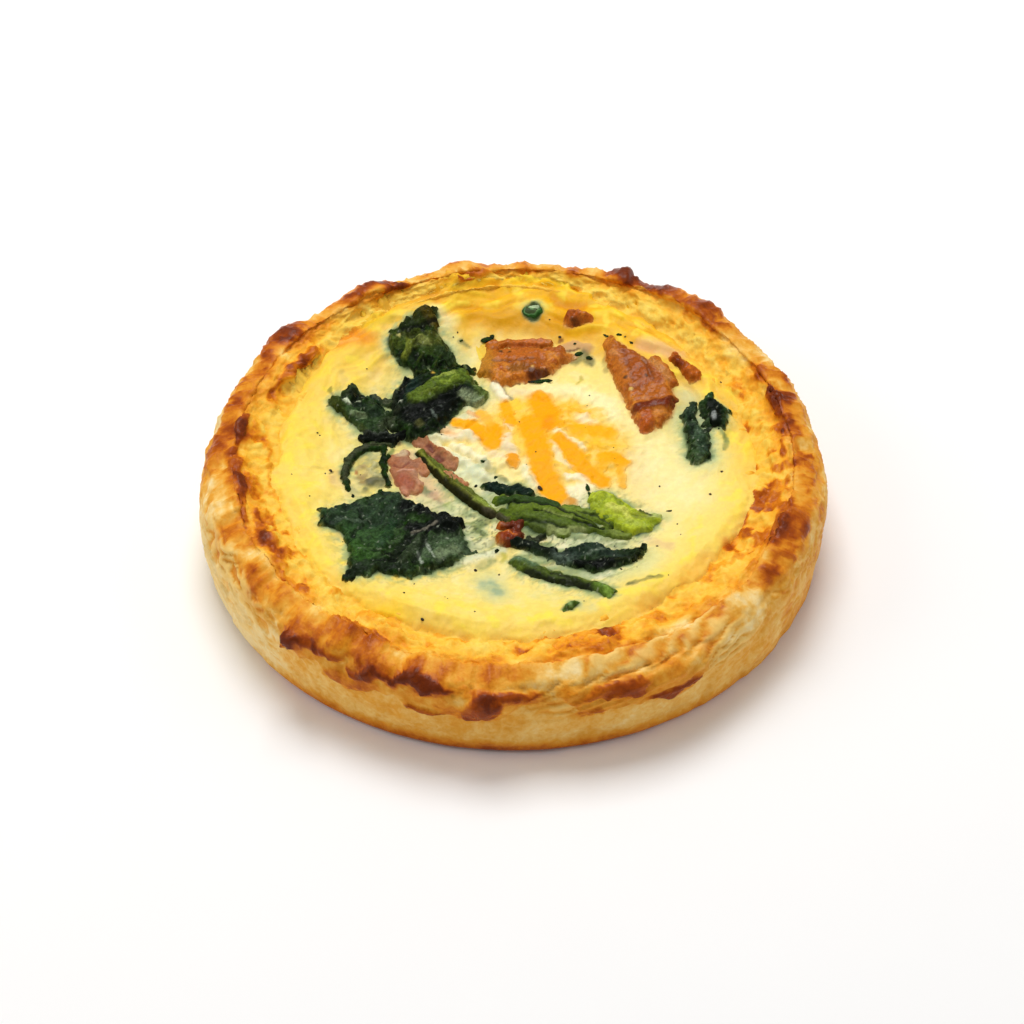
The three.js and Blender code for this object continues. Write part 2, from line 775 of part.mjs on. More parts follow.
// The base's middle is set on the origin.
const box = new THREE.Box3().setFromObject(quiche);
quiche.position.set(-(box.min.x + box.max.x) / 2, -(box.min.y + box.max.y) / 2, -box.min.z);

export default quiche;
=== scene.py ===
import logging
import math
from dataclasses import dataclass, field
from enum import Enum

import bpy
import numpy as np
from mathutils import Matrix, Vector
from mathutils.bvhtree import BVHTree


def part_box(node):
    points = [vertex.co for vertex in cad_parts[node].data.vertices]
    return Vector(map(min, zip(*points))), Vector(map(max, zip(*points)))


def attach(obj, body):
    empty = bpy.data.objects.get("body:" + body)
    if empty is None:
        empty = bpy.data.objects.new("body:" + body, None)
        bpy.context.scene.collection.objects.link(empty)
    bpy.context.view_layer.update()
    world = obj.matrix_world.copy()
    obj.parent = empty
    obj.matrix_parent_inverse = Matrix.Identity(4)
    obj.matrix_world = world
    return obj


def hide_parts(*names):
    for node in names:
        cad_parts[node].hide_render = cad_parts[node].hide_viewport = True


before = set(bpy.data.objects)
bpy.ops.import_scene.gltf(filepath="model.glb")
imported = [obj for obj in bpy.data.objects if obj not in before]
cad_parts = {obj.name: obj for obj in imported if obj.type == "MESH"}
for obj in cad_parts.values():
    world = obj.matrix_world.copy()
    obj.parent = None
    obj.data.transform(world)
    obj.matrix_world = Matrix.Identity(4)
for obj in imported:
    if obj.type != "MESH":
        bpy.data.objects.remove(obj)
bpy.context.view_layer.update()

LOG = logging.getLogger("quiche")
MM = 0.001

# ---------------------------------------------------------------- driving dimensions, as in the part
CUSTARD_RADIUS = 43.4 * MM
CUSTARD_SPREAD = 7.0 * MM
CUSTARD_LEVEL = 14.6 * MM
CUSTARD_LINE = 15.2 * MM
CUSTARD_CLIMB = 3.3 * MM
MOUND_X = 9.0 * MM
MOUND_Y = 6.0 * MM
MOUND_HEIGHT = 3.0 * MM
MOUND_RADIUS = 13.0 * MM


class Slot(Enum):
    """The material slots of the part's record."""

    PASTRY = "pastry"
    CUSTARD = "custard"
    SPINACH = "spinach"
    STALK = "stalk"
    PALE_LEAF = "pale_leaf"
    BACON = "bacon"
    HAM = "ham"
    CHEDDAR = "cheddar"
    ONION = "onion"


Array = np.ndarray
Colour = tuple[float, float, float, float]
Path = tuple[tuple[float, float], ...]
Stops = tuple[tuple[float, str], ...]
Socket = bpy.types.NodeSocket


# ---------------------------------------------------------------- numbers
def smooth(low: float, high: float, value: Array) -> Array:
    """A soft step from 0 at low to 1 at high."""
    t = np.clip((value - low) / (high - low), 0.0, 1.0)
    return t * t * (3.0 - 2.0 * t)


def mix(a: Array, b: Array, share: Array) -> Array:
    """The value that lies the given share of the way from a to b."""
    return a + (b - a) * share


def swell(theta: Array, at: float, wide: float) -> Array:
    """A smooth hump of height 1 at one azimuth, all in degrees."""
    away = (theta - at + 180.0) % 360.0 - 180.0
    return np.exp(-((away / wide) ** 2))


def round_table(theta: Array, stops: Path) -> Array:
    """A value at each azimuth, read between stops of azimuth and value that close round the quiche."""
    at, value = np.array(stops).T
    return np.interp(theta % 360, at, value, period=360)


class Noise:
    """Seeded smooth noise in space."""

    def __init__(self, seed: int) -> None:
        """Draws the table and the gradients.

        Args:
            seed: Number that fixes the pattern.
        """
        rng = np.random.default_rng(seed)
        self.table = rng.permutation(256)
        gradients = rng.normal(size=(256, 3))
        self.gradients = gradients / np.linalg.norm(gradients, axis=1, keepdims=True)

    def at(self, points: Array, size: float | tuple[float, float, float]) -> Array:
        """Gradient noise.

        Args:
            points: Places, one row each.
            size: Distance between bumps, the same for all axes or one for each.

        Returns:
            One value of about -1 to 1 for each place.
        """
        place = points / np.asarray(size)
        cell = np.floor(place).astype(int)
        inside = place - cell
        fade = inside**3 * (inside * (inside * 6 - 15) + 10)
        total = np.zeros(len(points))
        for corner in np.ndindex(2, 2, 2):
            key = cell + corner
            drawn = self.table[key[:, 0] & 255]
            drawn = self.table[(drawn + key[:, 1]) & 255]
            drawn = self.table[(drawn + key[:, 2]) & 255]
            slope = ((inside - corner) * self.gradients[drawn]).sum(axis=1)
            total += np.prod(np.where(corner, fade, 1 - fade), axis=1) * slope
        return total * 1.6

    def layers(self, points: Array, size: float, octaves: int = 3) -> Array:
        """Noise at several scales, each half the size and half the strength of the one before."""
        return sum(self.at(points + 31.0 * size * i, size / 2**i) / 2**i for i in range(octaves))

    def ridges(self, points: Array, size: float | tuple[float, float, float]) -> Array:
        """Sharp-crested folds, 0 in the valleys and 1 on the crests."""
        return np.clip(1.0 - 2.2 * np.abs(self.at(points, size)), 0.0, 1.0)


def hermite(knots: Array, values: Array, at: Array) -> Array:
    """Smooth curve through values at knots, along the first axis.

    Args:
        knots: Rising positions of the values.
        values: One row for each knot.
        at: Positions to read.

    Returns:
        One row for each position.
    """
    slopes = np.gradient(values, knots, axis=0)
    i = np.clip(np.searchsorted(knots, at, side="right") - 1, 0, len(knots) - 2)
    width = knots[i + 1] - knots[i]
    shape = (-1,) + (1,) * (values.ndim - 1)
    t = ((at - knots[i]) / width).reshape(shape)
    width = width.reshape(shape)
    start = (1 + 2 * t) * (1 - t) ** 2 * values[i] + t * (1 - t) ** 2 * width * slopes[i]
    end = t**2 * (3 - 2 * t) * values[i + 1] + t**2 * (t - 1) * width * slopes[i + 1]
    return start + end


def from_path(points: Array, path: Array) -> Array:
    """Distance of each point to a line through the path's points, in plan.

    Args:
        points: Places in plan, one row each.
        path: The line's own places.

    Returns:
        One distance for each point.
    """
    if len(path) == 1:
        return np.linalg.norm(points - path[0], axis=1)
    nearest = np.full(len(points), np.inf)
    for start, end in zip(path[:-1], path[1:]):
        span = end - start
        along = np.clip((points - start) @ span / (span @ span), 0.0, 1.0)
        away = points - start - along[:, None] * span
        nearest = np.minimum(nearest, np.linalg.norm(away, axis=1))
    return nearest


# ---------------------------------------------------------------- the quiche's own coordinates
def raw_corners(piece: bpy.types.Object) -> Array:
    """The mesh's vertices as they stand, one row each."""
    return np.array([vertex.co for vertex in piece.data.vertices])


def foot_centre() -> Array:
    """Centre of the flat underside, from the crust's lowest vertices.

    Returns:
        The centre, at height 0.
    """
    corners = raw_corners(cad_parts["crust"])
    foot = corners[corners[:, 2] < 0.01 * MM]
    centre = np.unique(np.round(foot, 7), axis=0).mean(axis=0)
    return np.array([centre[0], centre[1], 0.0])


CENTRE = foot_centre()


def azimuth(points: Array) -> Array:
    """Azimuth in degrees of points given from the quiche's centre."""
    return np.degrees(np.arctan2(points[:, 1], points[:, 0]))


def in_plan(points: Array) -> Array:
    """The points moved down to height 0."""
    return points * (1, 1, 0)


def from_axis(points: Array) -> Array:
    """Distance of each point from the quiche's upright axis."""
    return np.hypot(points[:, 0], points[:, 1])


def custard_edge(theta: Array) -> Array:
    """Radius of the custard's edge at an azimuth in degrees."""
    turn = np.radians(theta)
    return CUSTARD_RADIUS + CUSTARD_SPREAD * swell(theta, 92, 46) + 0.5 * MM * np.sin(3 * turn + 1)


def custard_level(points: Array) -> Array:
    """Height of the custard's plain upper surface at points given from the quiche's centre.

    Args:
        points: Places from the quiche's centre, one row each.

    Returns:
        One height for each point.
    """
    theta = azimuth(points)
    share = from_axis(points) / custard_edge(theta)
    line = CUSTARD_LINE + CUSTARD_CLIMB * swell(theta, 92, 52)
    climb = np.clip((share - 0.66) / 0.34, 0.0, 1.0) ** 2
    from_mound = np.hypot(points[:, 0] - MOUND_X, points[:, 1] - MOUND_Y) / MOUND_RADIUS
    return mix(CUSTARD_LEVEL, line, climb) + MOUND_HEIGHT * np.exp(-(from_mound**2) / 2)


# ---------------------------------------------------------------- modelling
def pick(piece: bpy.types.Object) -> None:
    """Makes one object the only selected and active one.

    Args:
        piece: The mesh.
    """
    if bpy.context.mode != "OBJECT":
        bpy.ops.object.mode_set(mode="OBJECT")
    bpy.ops.object.select_all(action="DESELECT")
    piece.select_set(True)
    bpy.context.view_layer.objects.active = piece


def named(name: str) -> bpy.types.Object:
    """The primitive that was added last, under its own name.

    Args:
        name: Name of the object and of its mesh.

    Returns:
        The same object.
    """
    piece = bpy.context.active_object
    piece.name = name
    piece.data.name = name
    return piece


def corners_of(piece: bpy.types.Object) -> Array:
    """The mesh's vertices, one row each, from the quiche's centre.

    Args:
        piece: The mesh.

    Returns:
        One row for each vertex.
    """
    flat = np.empty(3 * len(piece.data.vertices), np.float32)
    piece.data.vertices.foreach_get("co", flat)
    return flat.reshape(-1, 3).astype(float) - CENTRE


def place_corners(piece: bpy.types.Object, points: Array) -> None:
    """Moves the mesh's vertices to points given from the quiche's centre."""
    piece.data.vertices.foreach_set("co", (points + CENTRE).astype(np.float32).ravel())
    piece.data.update()


def normals_of(piece: bpy.types.Object) -> Array:
    """The mesh's vertex normals, one row each.

    Args:
        piece: The mesh.

    Returns:
        One row for each vertex.
    """
    flat = np.empty(3 * len(piece.data.vertices), np.float32)
    piece.data.vertex_normals.foreach_get("vector", flat)
    return flat.reshape(-1, 3).astype(float)


def paint(piece: bpy.types.Object, name: str, values: Array) -> None:
    """Stores one number for each vertex, for the piece's finish."""
    layer = piece.data.attributes.get(name) or piece.data.attributes.new(name, "FLOAT", "POINT")
    layer.data.foreach_set("value", np.clip(values, 0.0, 1.0).astype(np.float32))


def apply(piece: bpy.types.Object, kind: str, **settings: object) -> None:
    """Adds a modifier with these settings and applies it.

    Args:
        piece: The mesh.
        kind: The modifier's type.
        settings: Its settings by name.
    """
    pick(piece)
    modifier = piece.modifiers.new(kind.lower(), kind)
    for name, value in settings.items():
        setattr(modifier, name, value)
    bpy.ops.object.modifier_apply(modifier=modifier.name)


def edit(piece: bpy.types.Object, select: str = "SELECT") -> None:
    """Starts edit mode on one mesh.

    Args:
        piece: The mesh.
        select: SELECT or DESELECT, for all of it.
    """
    pick(piece)
    bpy.ops.object.mode_set(mode="EDIT")
    bpy.ops.mesh.select_all(action=select)


def face_outwards() -> None:
    """Turns all faces of the mesh in edit mode outwards and leaves edit mode."""
    bpy.ops.mesh.select_all(action="SELECT")
    bpy.ops.mesh.normals_make_consistent(inside=False)
    bpy.ops.object.mode_set(mode="OBJECT")


def drop_corners(piece: bpy.types.Object, unwanted: Array) -> None:
    """Deletes the vertices that are marked True, with the faces on them.

    Args:
        piece: The mesh.
        unwanted: True or False for each vertex.
    """
    pick(piece)
    bpy.ops.object.mode_set(mode="EDIT")
    bpy.ops.mesh.select_mode(type="VERT")
    bpy.ops.mesh.select_all(action="DESELECT")
    bpy.ops.object.mode_set(mode="OBJECT")
    piece.data.vertices.foreach_set("select", unwanted)
    bpy.ops.object.mode_set(mode="EDIT")
    bpy.ops.mesh.delete(type="VERT")
    bpy.ops.object.mode_set(mode="OBJECT")


def complete(piece: bpy.types.Object, slot: Slot, material: bpy.types.Material, *nodes: str) -> None:
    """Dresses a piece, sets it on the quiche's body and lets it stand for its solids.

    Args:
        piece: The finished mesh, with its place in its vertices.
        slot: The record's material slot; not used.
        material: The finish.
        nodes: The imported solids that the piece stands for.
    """
    pick(piece)
    bpy.ops.object.shade_smooth()
    piece.data.materials.clear()
    piece.data.materials.append(material)
    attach(piece, "root")
    if nodes:
        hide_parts(*nodes)
    LOG.info("%s: %d faces", piece.name, len(piece.data.polygons))


@dataclass
class Raster:
    """A map over the custard, seen from above."""

    half: float = 56 * MM
    step: float = 0.25 * MM
    values: Array | None = None
    above: float = 50 * MM

    def __post_init__(self) -> None:
        """Starts an empty map."""
        side = int(2 * self.half / self.step) + 1
        if self.values is None:
            self.values = np.zeros((side, side))

    def mark(self, node: str) -> "Raster":
        """Marks with 1 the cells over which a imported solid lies.

        Args:
            node: Name of the solid.

        Returns:
            The map itself.
        """
        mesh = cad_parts[node].data
        tree = BVHTree.FromPolygons([v.co for v in mesh.vertices], [p.vertices for p in mesh.polygons])
        low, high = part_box(node)
        first = [max(0, int((low[i] - CENTRE[i] + self.half) / self.step)) for i in (0, 1)]
        last = [int((high[i] - CENTRE[i] + self.half) / self.step) + 2 for i in (0, 1)]
        for i in range(first[0], last[0]):
            for j in range(first[1], last[1]):
                x = i * self.step - self.half + CENTRE[0]
                y = j * self.step - self.half + CENTRE[1]
                if tree.ray_cast(Vector((x, y, self.above)), Vector((0, 0, -1)))[0]:
                    self.values[i, j] = 1.0
        return self

    def blurred(self, reach: float) -> "Raster":
        """The map after a soft blur of the given width.

        Args:
            reach: Width of the blur.

        Returns:
            A new map.
        """
        waves = np.fft.fftfreq(self.values.shape[0], self.step) * 2 * math.pi
        fade = np.exp(-(waves**2) * reach**2 / 2)
        spectrum = np.fft.fft2(self.values) * fade[:, None] * fade[None, :]
        return Raster(self.half, self.step, np.real(np.fft.ifft2(spectrum)))

    def read(self, points: Array) -> Array:
        """The map's values at points given from the quiche's centre.

        Args:
            points: Places from the quiche's centre, one row each.

        Returns:
            One value for each point.
        """
        side = self.values.shape[0]
        place = np.clip((points[:, :2] + self.half) / self.step, 0, side - 1.001)
        cell = place.astype(int)
        u, v = (place - cell).T
        i, j = cell.T
        low = mix(self.values[i, j], self.values[i + 1, j], u)
        high = mix(self.values[i, j + 1], self.values[i + 1, j + 1], u)
        return mix(low, high, v)


# ---------------------------------------------------------------- painting
def colour(display: str) -> Colour:
    """A shader colour from its display value, written as six hex digits."""
    shares = [int(display[i:i + 2], 16) / 255 for i in (0, 2, 4)]
    return tuple(c / 12.92 if c < 0.04045 else ((c + 0.055) / 1.055) ** 2.4 for c in shares) + (1.0,)


@dataclass(frozen=True)
class Mark:
    """A spot, streak, crease or roll along a line.

    The line is a list of x,y places and wide its half-width, all in millimetres.  shade is its colour,
    amount how fully that covers, high how far it stands up in millimetres, soft the share of its width
    that fades and grain how patchy it is.
    """

    line: str
    wide: float
    shade: str = ""
    amount: float = 0.8
    high: float = 0.0
    grain: float = 0.0
    soft: float = 0.5

    def path(self) -> Array:
        """The line's places, one row each."""
        return np.array([place.split(",") for place in self.line.split()], float)

    def cover(self, flat: Array, patches: Array) -> Array:
        """How fully it covers each point.

        Args:
            flat: Points in plan, in millimetres.
            patches: Noise of about -1 to 1 at the points.

        Returns:
            Values of 0 to 1.
        """
        path = self.path()
        reach = self.wide * (1.0 + self.soft)
        near = np.all((flat > path.min(axis=0) - reach) & (flat < path.max(axis=0) + reach), axis=1)
        away = from_path(flat[near], path) / self.wide
        whole = np.zeros(len(flat))
        whole[near] = 1.0 - smooth(1.0 - self.soft, 1.0 + self.soft, away)
        return whole * (1.0 - self.grain * (1.0 - smooth(-0.5, 0.5, patches)))


class Coat:
    """Colours laid over each other on the vertices of one mesh."""

    def __init__(self, count: int) -> None:
        """Starts a clear coat over this many vertices."""
        self.tint = np.zeros((count, 4))
        self.cover = np.zeros(count)

    def lay(self, shade: str, amount: Array) -> None:
        """Lays one colour over what is there, as fully as amount says at each vertex.

        Args:
            shade: The colour's display value.
            amount: How fully it covers each vertex.
        """
        share = np.clip(amount, 0.0, 1.0)
        self.tint = mix(self.tint, np.array(colour(shade)), share[:, None])
        self.cover = mix(self.cover, 1.0, share)

    def stroke(self, marks: tuple[Mark, ...], flat: Array, patches: Array) -> None:
        """Lays marks over each other in their order, at places in plan in millimetres."""
        for mark in marks:
            self.lay(mark.shade, mark.amount * mark.cover(flat, patches))

    def fade(self, keep: Array) -> None:
        """Takes the coat off, all but the share that is kept."""
        self.tint = self.tint * keep[:, None]
        self.cover = self.cover * keep

    def store(self, piece: bpy.types.Object) -> None:
        """Writes the coat on the mesh, as a colour and how fully it covers.

        Args:
            piece: The mesh.
        """
        tint = self.tint / np.maximum(self.cover, 1e-4)[:, None]
        tint[:, 3] = 1.0
        layer = piece.data.attributes.new("tint", "FLOAT_COLOR", "POINT")
        layer.data.foreach_set("color", tint.astype(np.float32).ravel())
        paint(piece, "cover", self.cover)


class Recipe:
    """Builds one material out of shader nodes."""

    def __init__(self, name: str, **constants: object) -> None:
        """Starts the material.

        Args:
            name: The material's name.
            constants: Values of the shader's own sockets, by socket name with _ for a space.
        """
        self.material = bpy.data.materials.new(name)
        self.material.use_nodes = True
        self.tree = self.material.node_tree
        self.shader = self.tree.nodes["Principled BSDF"]
        self.place = self.tree.nodes.new("ShaderNodeTexCoord").outputs["Object"]
        for key, value in constants.items():
            self.shader.inputs[key.replace("_", " ")].default_value = value

    def set(self, node: bpy.types.Node, key: str | int, value: object) -> None:
        """Links a socket to an input, or sets it as a constant; text is a colour.

        Args:
            node: The shader node.
            key: Name or number of its input.
            value: A socket, a constant, a colour as text, or None to leave it.
        """
        if isinstance(value, Socket):
            self.tree.links.new(value, node.inputs[key])
        elif isinstance(value, str):
            node.inputs[key].default_value = colour(value)
        elif value is not None:
            node.inputs[key].default_value = value

    def noise(self, size: float, detail: float = 2.0, warp: float = 0.0) -> Socket:
        """Soft noise of 0 to 1 with bumps of the given size.

        Args:
            size: Distance between bumps.
            detail: How many finer layers it has.
            warp: How far it is bent.

        Returns:
            The pattern.
        """
        node = self.tree.nodes.new("ShaderNodeTexNoise")
        self.set(node, "Vector", self.place)
        self.set(node, "Scale", 1.0 / size)
        self.set(node, "Detail", detail)
        self.set(node, "Roughness", 0.58)
        self.set(node, "Distortion", warp)
        return node.outputs["Fac"]

    def cells(self, size: float) -> Socket:
        """Distance to the nearest of scattered points, about the given size apart.

        Args:
            size: Distance between the points.

        Returns:
            The pattern.
        """
        node = self.tree.nodes.new("ShaderNodeTexVoronoi")
        self.set(node, "Vector", self.place)
        self.set(node, "Scale", 1.0 / size)
        return node.outputs["Distance"]

    def painted(self, name: str, output: str = "Fac") -> Socket:
        """A number or colour that is stored on the piece's vertices.

        Args:
            name: Name under which it is stored.
            output: Fac for a number, Color for a colour.

        Returns:
            The stored value.
        """
        node = self.tree.nodes.new("ShaderNodeAttribute")
        node.attribute_name = name
        return node.outputs[output]

    def maths(self, kind: str, a: object, b: object = None, clamp: bool = False) -> Socket:
        """One sum of two values.

        Args:
            kind: The node's operation.
            a: The first value.
            b: The second value.
            clamp: Whether the result stays within 0 to 1.

        Returns:
            The result.
        """
        node = self.tree.nodes.new("ShaderNodeMath")
        node.operation = kind
        node.use_clamp = clamp
        self.set(node, 0, a)
        self.set(node, 1, b)
        return node.outputs[0]

    def span(
        self, value: Socket, low: float, high: float, to_low: float = 0.0, to_high: float = 1.0
    ) -> Socket:
        """Moves a value from one range into another, softly and clamped.

        Args:
            value: What is moved.
            low: Start of its range.
            high: End of its range.
            to_low: Start of the new range.
            to_high: End of the new range.

        Returns:
            The moved value.
        """
        node = self.tree.nodes.new("ShaderNodeMapRange")
        node.interpolation_type = "SMOOTHSTEP"
        self.set(node, "Value", value)
        for key, number in (("From Min", low), ("From Max", high), ("To Min", to_low), ("To Max", to_high)):
            node.inputs[key].default_value = number
        return node.outputs["Result"]

    def ramp(self, value: Socket, stops: Stops) -> Socket:
        """A colour for each value, through stops of position and colour.

        Args:
            value: Position on the ramp.
            stops: Positions and colours.

        Returns:
            The colour.
        """
        node = self.tree.nodes.new("ShaderNodeValToRGB")
        self.set(node, "Fac", value)
        elements = node.color_ramp.elements
        while len(elements) < len(stops):
            elements.new(0.5)
        for element, (position, shade) in zip(elements, stops):
            element.position = position
            element.color = colour(shade)
        return node.outputs["Color"]

    def blend(self, share: object, a: object, b: object, kind: str = "MIX") -> Socket:
        """Colour a turned into colour b by a share.

        Args:
            share: How far to go from a to b.
            a: The first colour.
            b: The second colour.
            kind: The node's blend type.

        Returns:
            The blended colour.
        """
        node = self.tree.nodes.new("ShaderNodeMix")
        node.data_type = "RGBA"
        node.blend_type = kind
        self.set(node, 0, share)
        self.set(node, 6, a)
        self.set(node, 7, b)
        return node.outputs[2]

    def coated(self, base: object, grain: Socket, depth: float) -> Socket:
        """The painted coat over a base colour, lighter and darker with the grain.

        Args:
            base: Colour where the coat is clear.
            grain: Fine pattern.
            depth: How much lighter and darker it gets.

        Returns:
            The colour.
        """
        laid = self.blend(self.painted("cover"), base, self.painted("tint", "Color"))
        shade = self.span(grain, 0.3, 0.7, 1 - depth, 1 + 0.6 * depth)
        return self.blend(1.0, laid, shade, "MULTIPLY")

    def relief(self, *heights: tuple[Socket, float]) -> None:
        """Bumps the surface by several patterns, each with its depth.

        Args:
            heights: Patterns, each with its depth.
        """
        normal = None
        for height, depth in heights:
            node = self.tree.nodes.new("ShaderNodeBump")
            node.inputs["Strength"].default_value = 1.0
            node.inputs["Distance"].default_value = depth
            self.set(node, "Height", height)
            self.set(node, "Normal", normal)
            normal = node.outputs["Normal"]
        self.set(self.shader, "Normal", normal)

    def finish(self, base: Socket, roughness: Socket) -> bpy.types.Material:
        """Links the colour and the roughness and hands over the material.

        Args:
            base: Colour.
            roughness: Roughness.

        Returns:
            The material.
        """
        self.set(self.shader, "Base Color", base)
        self.set(self.shader, "Roughness", roughness)
        return self.material


# ---------------------------------------------------------------- finishes
CREAM = "f8e07e"
CURD = "fae8a6"
YOLK = "fcd64a"
GOLD = "f2b03a"
SAGE = "ccd488"
TEAL = "70845a"
LEAF = "283c18"
OLIVE = "54601e"
BLACK = "0a0e0a"
BLUSH = "cc8c48"


@dataclass(frozen=True)
class Pastry:
    """Baked puff pastry, from cream dough to dark blisters."""

    dough: Stops = (
        (0.0, "fce0a0"), (0.16, "f4c468"), (0.3, "eaa638"), (0.44, "e08c1c"), (0.58, "c66a0c"),
        (0.76, "a04606"), (1.0, "6c2804"),
    )
    glazed: Stops = (
        (0.0, "fcd860"), (0.16, "fac848"), (0.3, "f6b430"), (0.44, "ee9a18"), (0.58, "d0720a"),
        (0.76, "a44a06"), (1.0, "6e2a04"),
    )
    cream: str = "f6cc74"

    def material(self) -> bpy.types.Material:
        """Builds the material.

        Returns:
            The material.
        """
        r = Recipe("pastry", Specular_IOR_Level=0.15)
        fine = r.noise(1.2 * MM, 4.0, 0.4)
        coarse = r.noise(4.0 * MM, 3.0)
        drift = r.maths("ADD", r.span(fine, 0.25, 0.75, -0.07, 0.07), r.span(coarse, 0.25, 0.75, -0.05, 0.05))
        bake = r.maths("ADD", r.painted("bake"), drift, clamp=True)
        base = r.blend(r.painted("glaze"), r.ramp(bake, self.dough), r.ramp(bake, self.glazed))
        base = r.blend(r.painted("flake"), base, self.cream)
        gloss = r.maths("ADD", r.span(bake, 0.3, 0.8, 0.5, 0.3), r.span(fine, 0.2, 0.8, -0.06, 0.08))
        r.relief((r.noise(2.0 * MM, 4.0), 0.26 * MM), (r.noise(0.6 * MM, 3.0), 0.1 * MM))
        return r.finish(base, gloss)


@dataclass(frozen=True)
class EggCustard:
    """Soft baked egg custard."""

    tone: str = CREAM
    grain: float = 1.1 * MM
    dimples: float = 2.6 * MM

    def material(self) -> bpy.types.Material:
        """Builds the material.

        Returns:
            The material.
        """
        r = Recipe(
            "custard",
            Specular_IOR_Level=0.12,
            Subsurface_Weight=0.1,
            Subsurface_Radius=(1.0, 0.7, 0.3),
            Subsurface_Scale=1.0 * MM,
        )
        fine = r.noise(self.grain, 4.0, 0.3)
        base = r.coated(self.tone, fine, 0.05)
        r.relief((r.noise(self.dimples, 3.0), 0.16 * MM), (fine, 0.08 * MM))
        return r.finish(base, r.span(fine, 0.2, 0.8, 0.38, 0.52))


@dataclass(frozen=True)
class Finish:
    """A moist food with mottled colour under its painted coat."""

    name: str
    dark: str
    light: str
    patch: float = 2.2 * MM
    grain: float = 0.5 * MM
    contrast: float = 0.22
    gloss: tuple[float, float] = (0.3, 0.5)
    shine: float = 0.25
    depth: float = 0.12 * MM
    veins: float = 0.0
    soft: float = 0.0

    def material(self) -> bpy.types.Material:
        """Builds the material.

        Returns:
            The material.
        """
        r = Recipe(
            self.name,
            Specular_IOR_Level=self.shine,
            Subsurface_Weight=self.soft,
            Subsurface_Radius=(1.0, 0.5, 0.25),
            Subsurface_Scale=0.8 * MM,
        )
        patch = r.noise(self.patch, 4.0, 0.7)
        fine = r.noise(self.grain, 3.0, 0.3)
        base = r.coated(r.blend(r.span(patch, 0.35, 0.65), self.dark, self.light), fine, self.contrast)
        heights = [(patch, self.depth), (fine, 0.6 * self.depth)]
        if self.veins:
            heights.insert(0, (r.cells(1.1 * MM), self.veins))
        r.relief(*heights)
        return r.finish(base, r.span(patch, 0.3, 0.7, *self.gloss))


SPINACH = Finish("spinach", "081004", "1e3a0a", contrast=0.45, shine=0.06, depth=0.16 * MM, veins=0.14 * MM)
STALK = Finish("stalk", "3a480a", "687e14", contrast=0.3, shine=0.07)
PALE_LEAF = Finish("pale_leaf", "84980c", "acb820", contrast=0.25, shine=0.12, soft=0.05)
BACON = Finish(
    "bacon", "a85414", "d08028", contrast=0.24, shine=0.14, gloss=(0.18, 0.34), depth=0.07 * MM, soft=0.05
)
HAM = Finish("ham", "a8643e", "c89060", contrast=0.18, shine=0.1, depth=0.08 * MM, soft=0.05)
CHEDDAR = Finish("cheddar", "fcac00", "fdb80c", contrast=0.05, gloss=(0.36, 0.48), shine=0.08)
ONION = Finish("onion", "1c4414", "386c24", contrast=0.2, shine=0.08)
PEPPER = Finish("pepper", "1e160c", "48341a", patch=0.5 * MM, gloss=(0.5, 0.7))


# ---------------------------------------------------------------- crust
@dataclass(frozen=True)
class Crag:
    """A blister, flake or browned patch of the crust.

    at and wide are degrees round the quiche.  place and long run along the section, from 0 at the
    foot by 1 at the crest to 2 at the custard.  bake is how much darker it is, high how far it stands
    out in millimetres, and slant how many degrees it leans for one unit of place.
    """

    at: float
    place: float
    wide: float
    long: float
    bake: float
    high: float = 0.0
    slant: float = 0.0

    def shape(self, theta: Array, place: Array) -> Array:
        """Its outline, 1 in the middle and 0 far away.

        Args:
            theta: Azimuth of each point, in degrees.
            place: Place of each point along the section.

        Returns:
            One value for each point.
        """
        across = (theta - self.at + 180.0) % 360.0 - 180.0
        across = (across - self.slant * (place - self.place)) / self.wide
        along = (place - self.place) / self.long
        return np.exp(-((across**2 + along**2) ** 1.5))


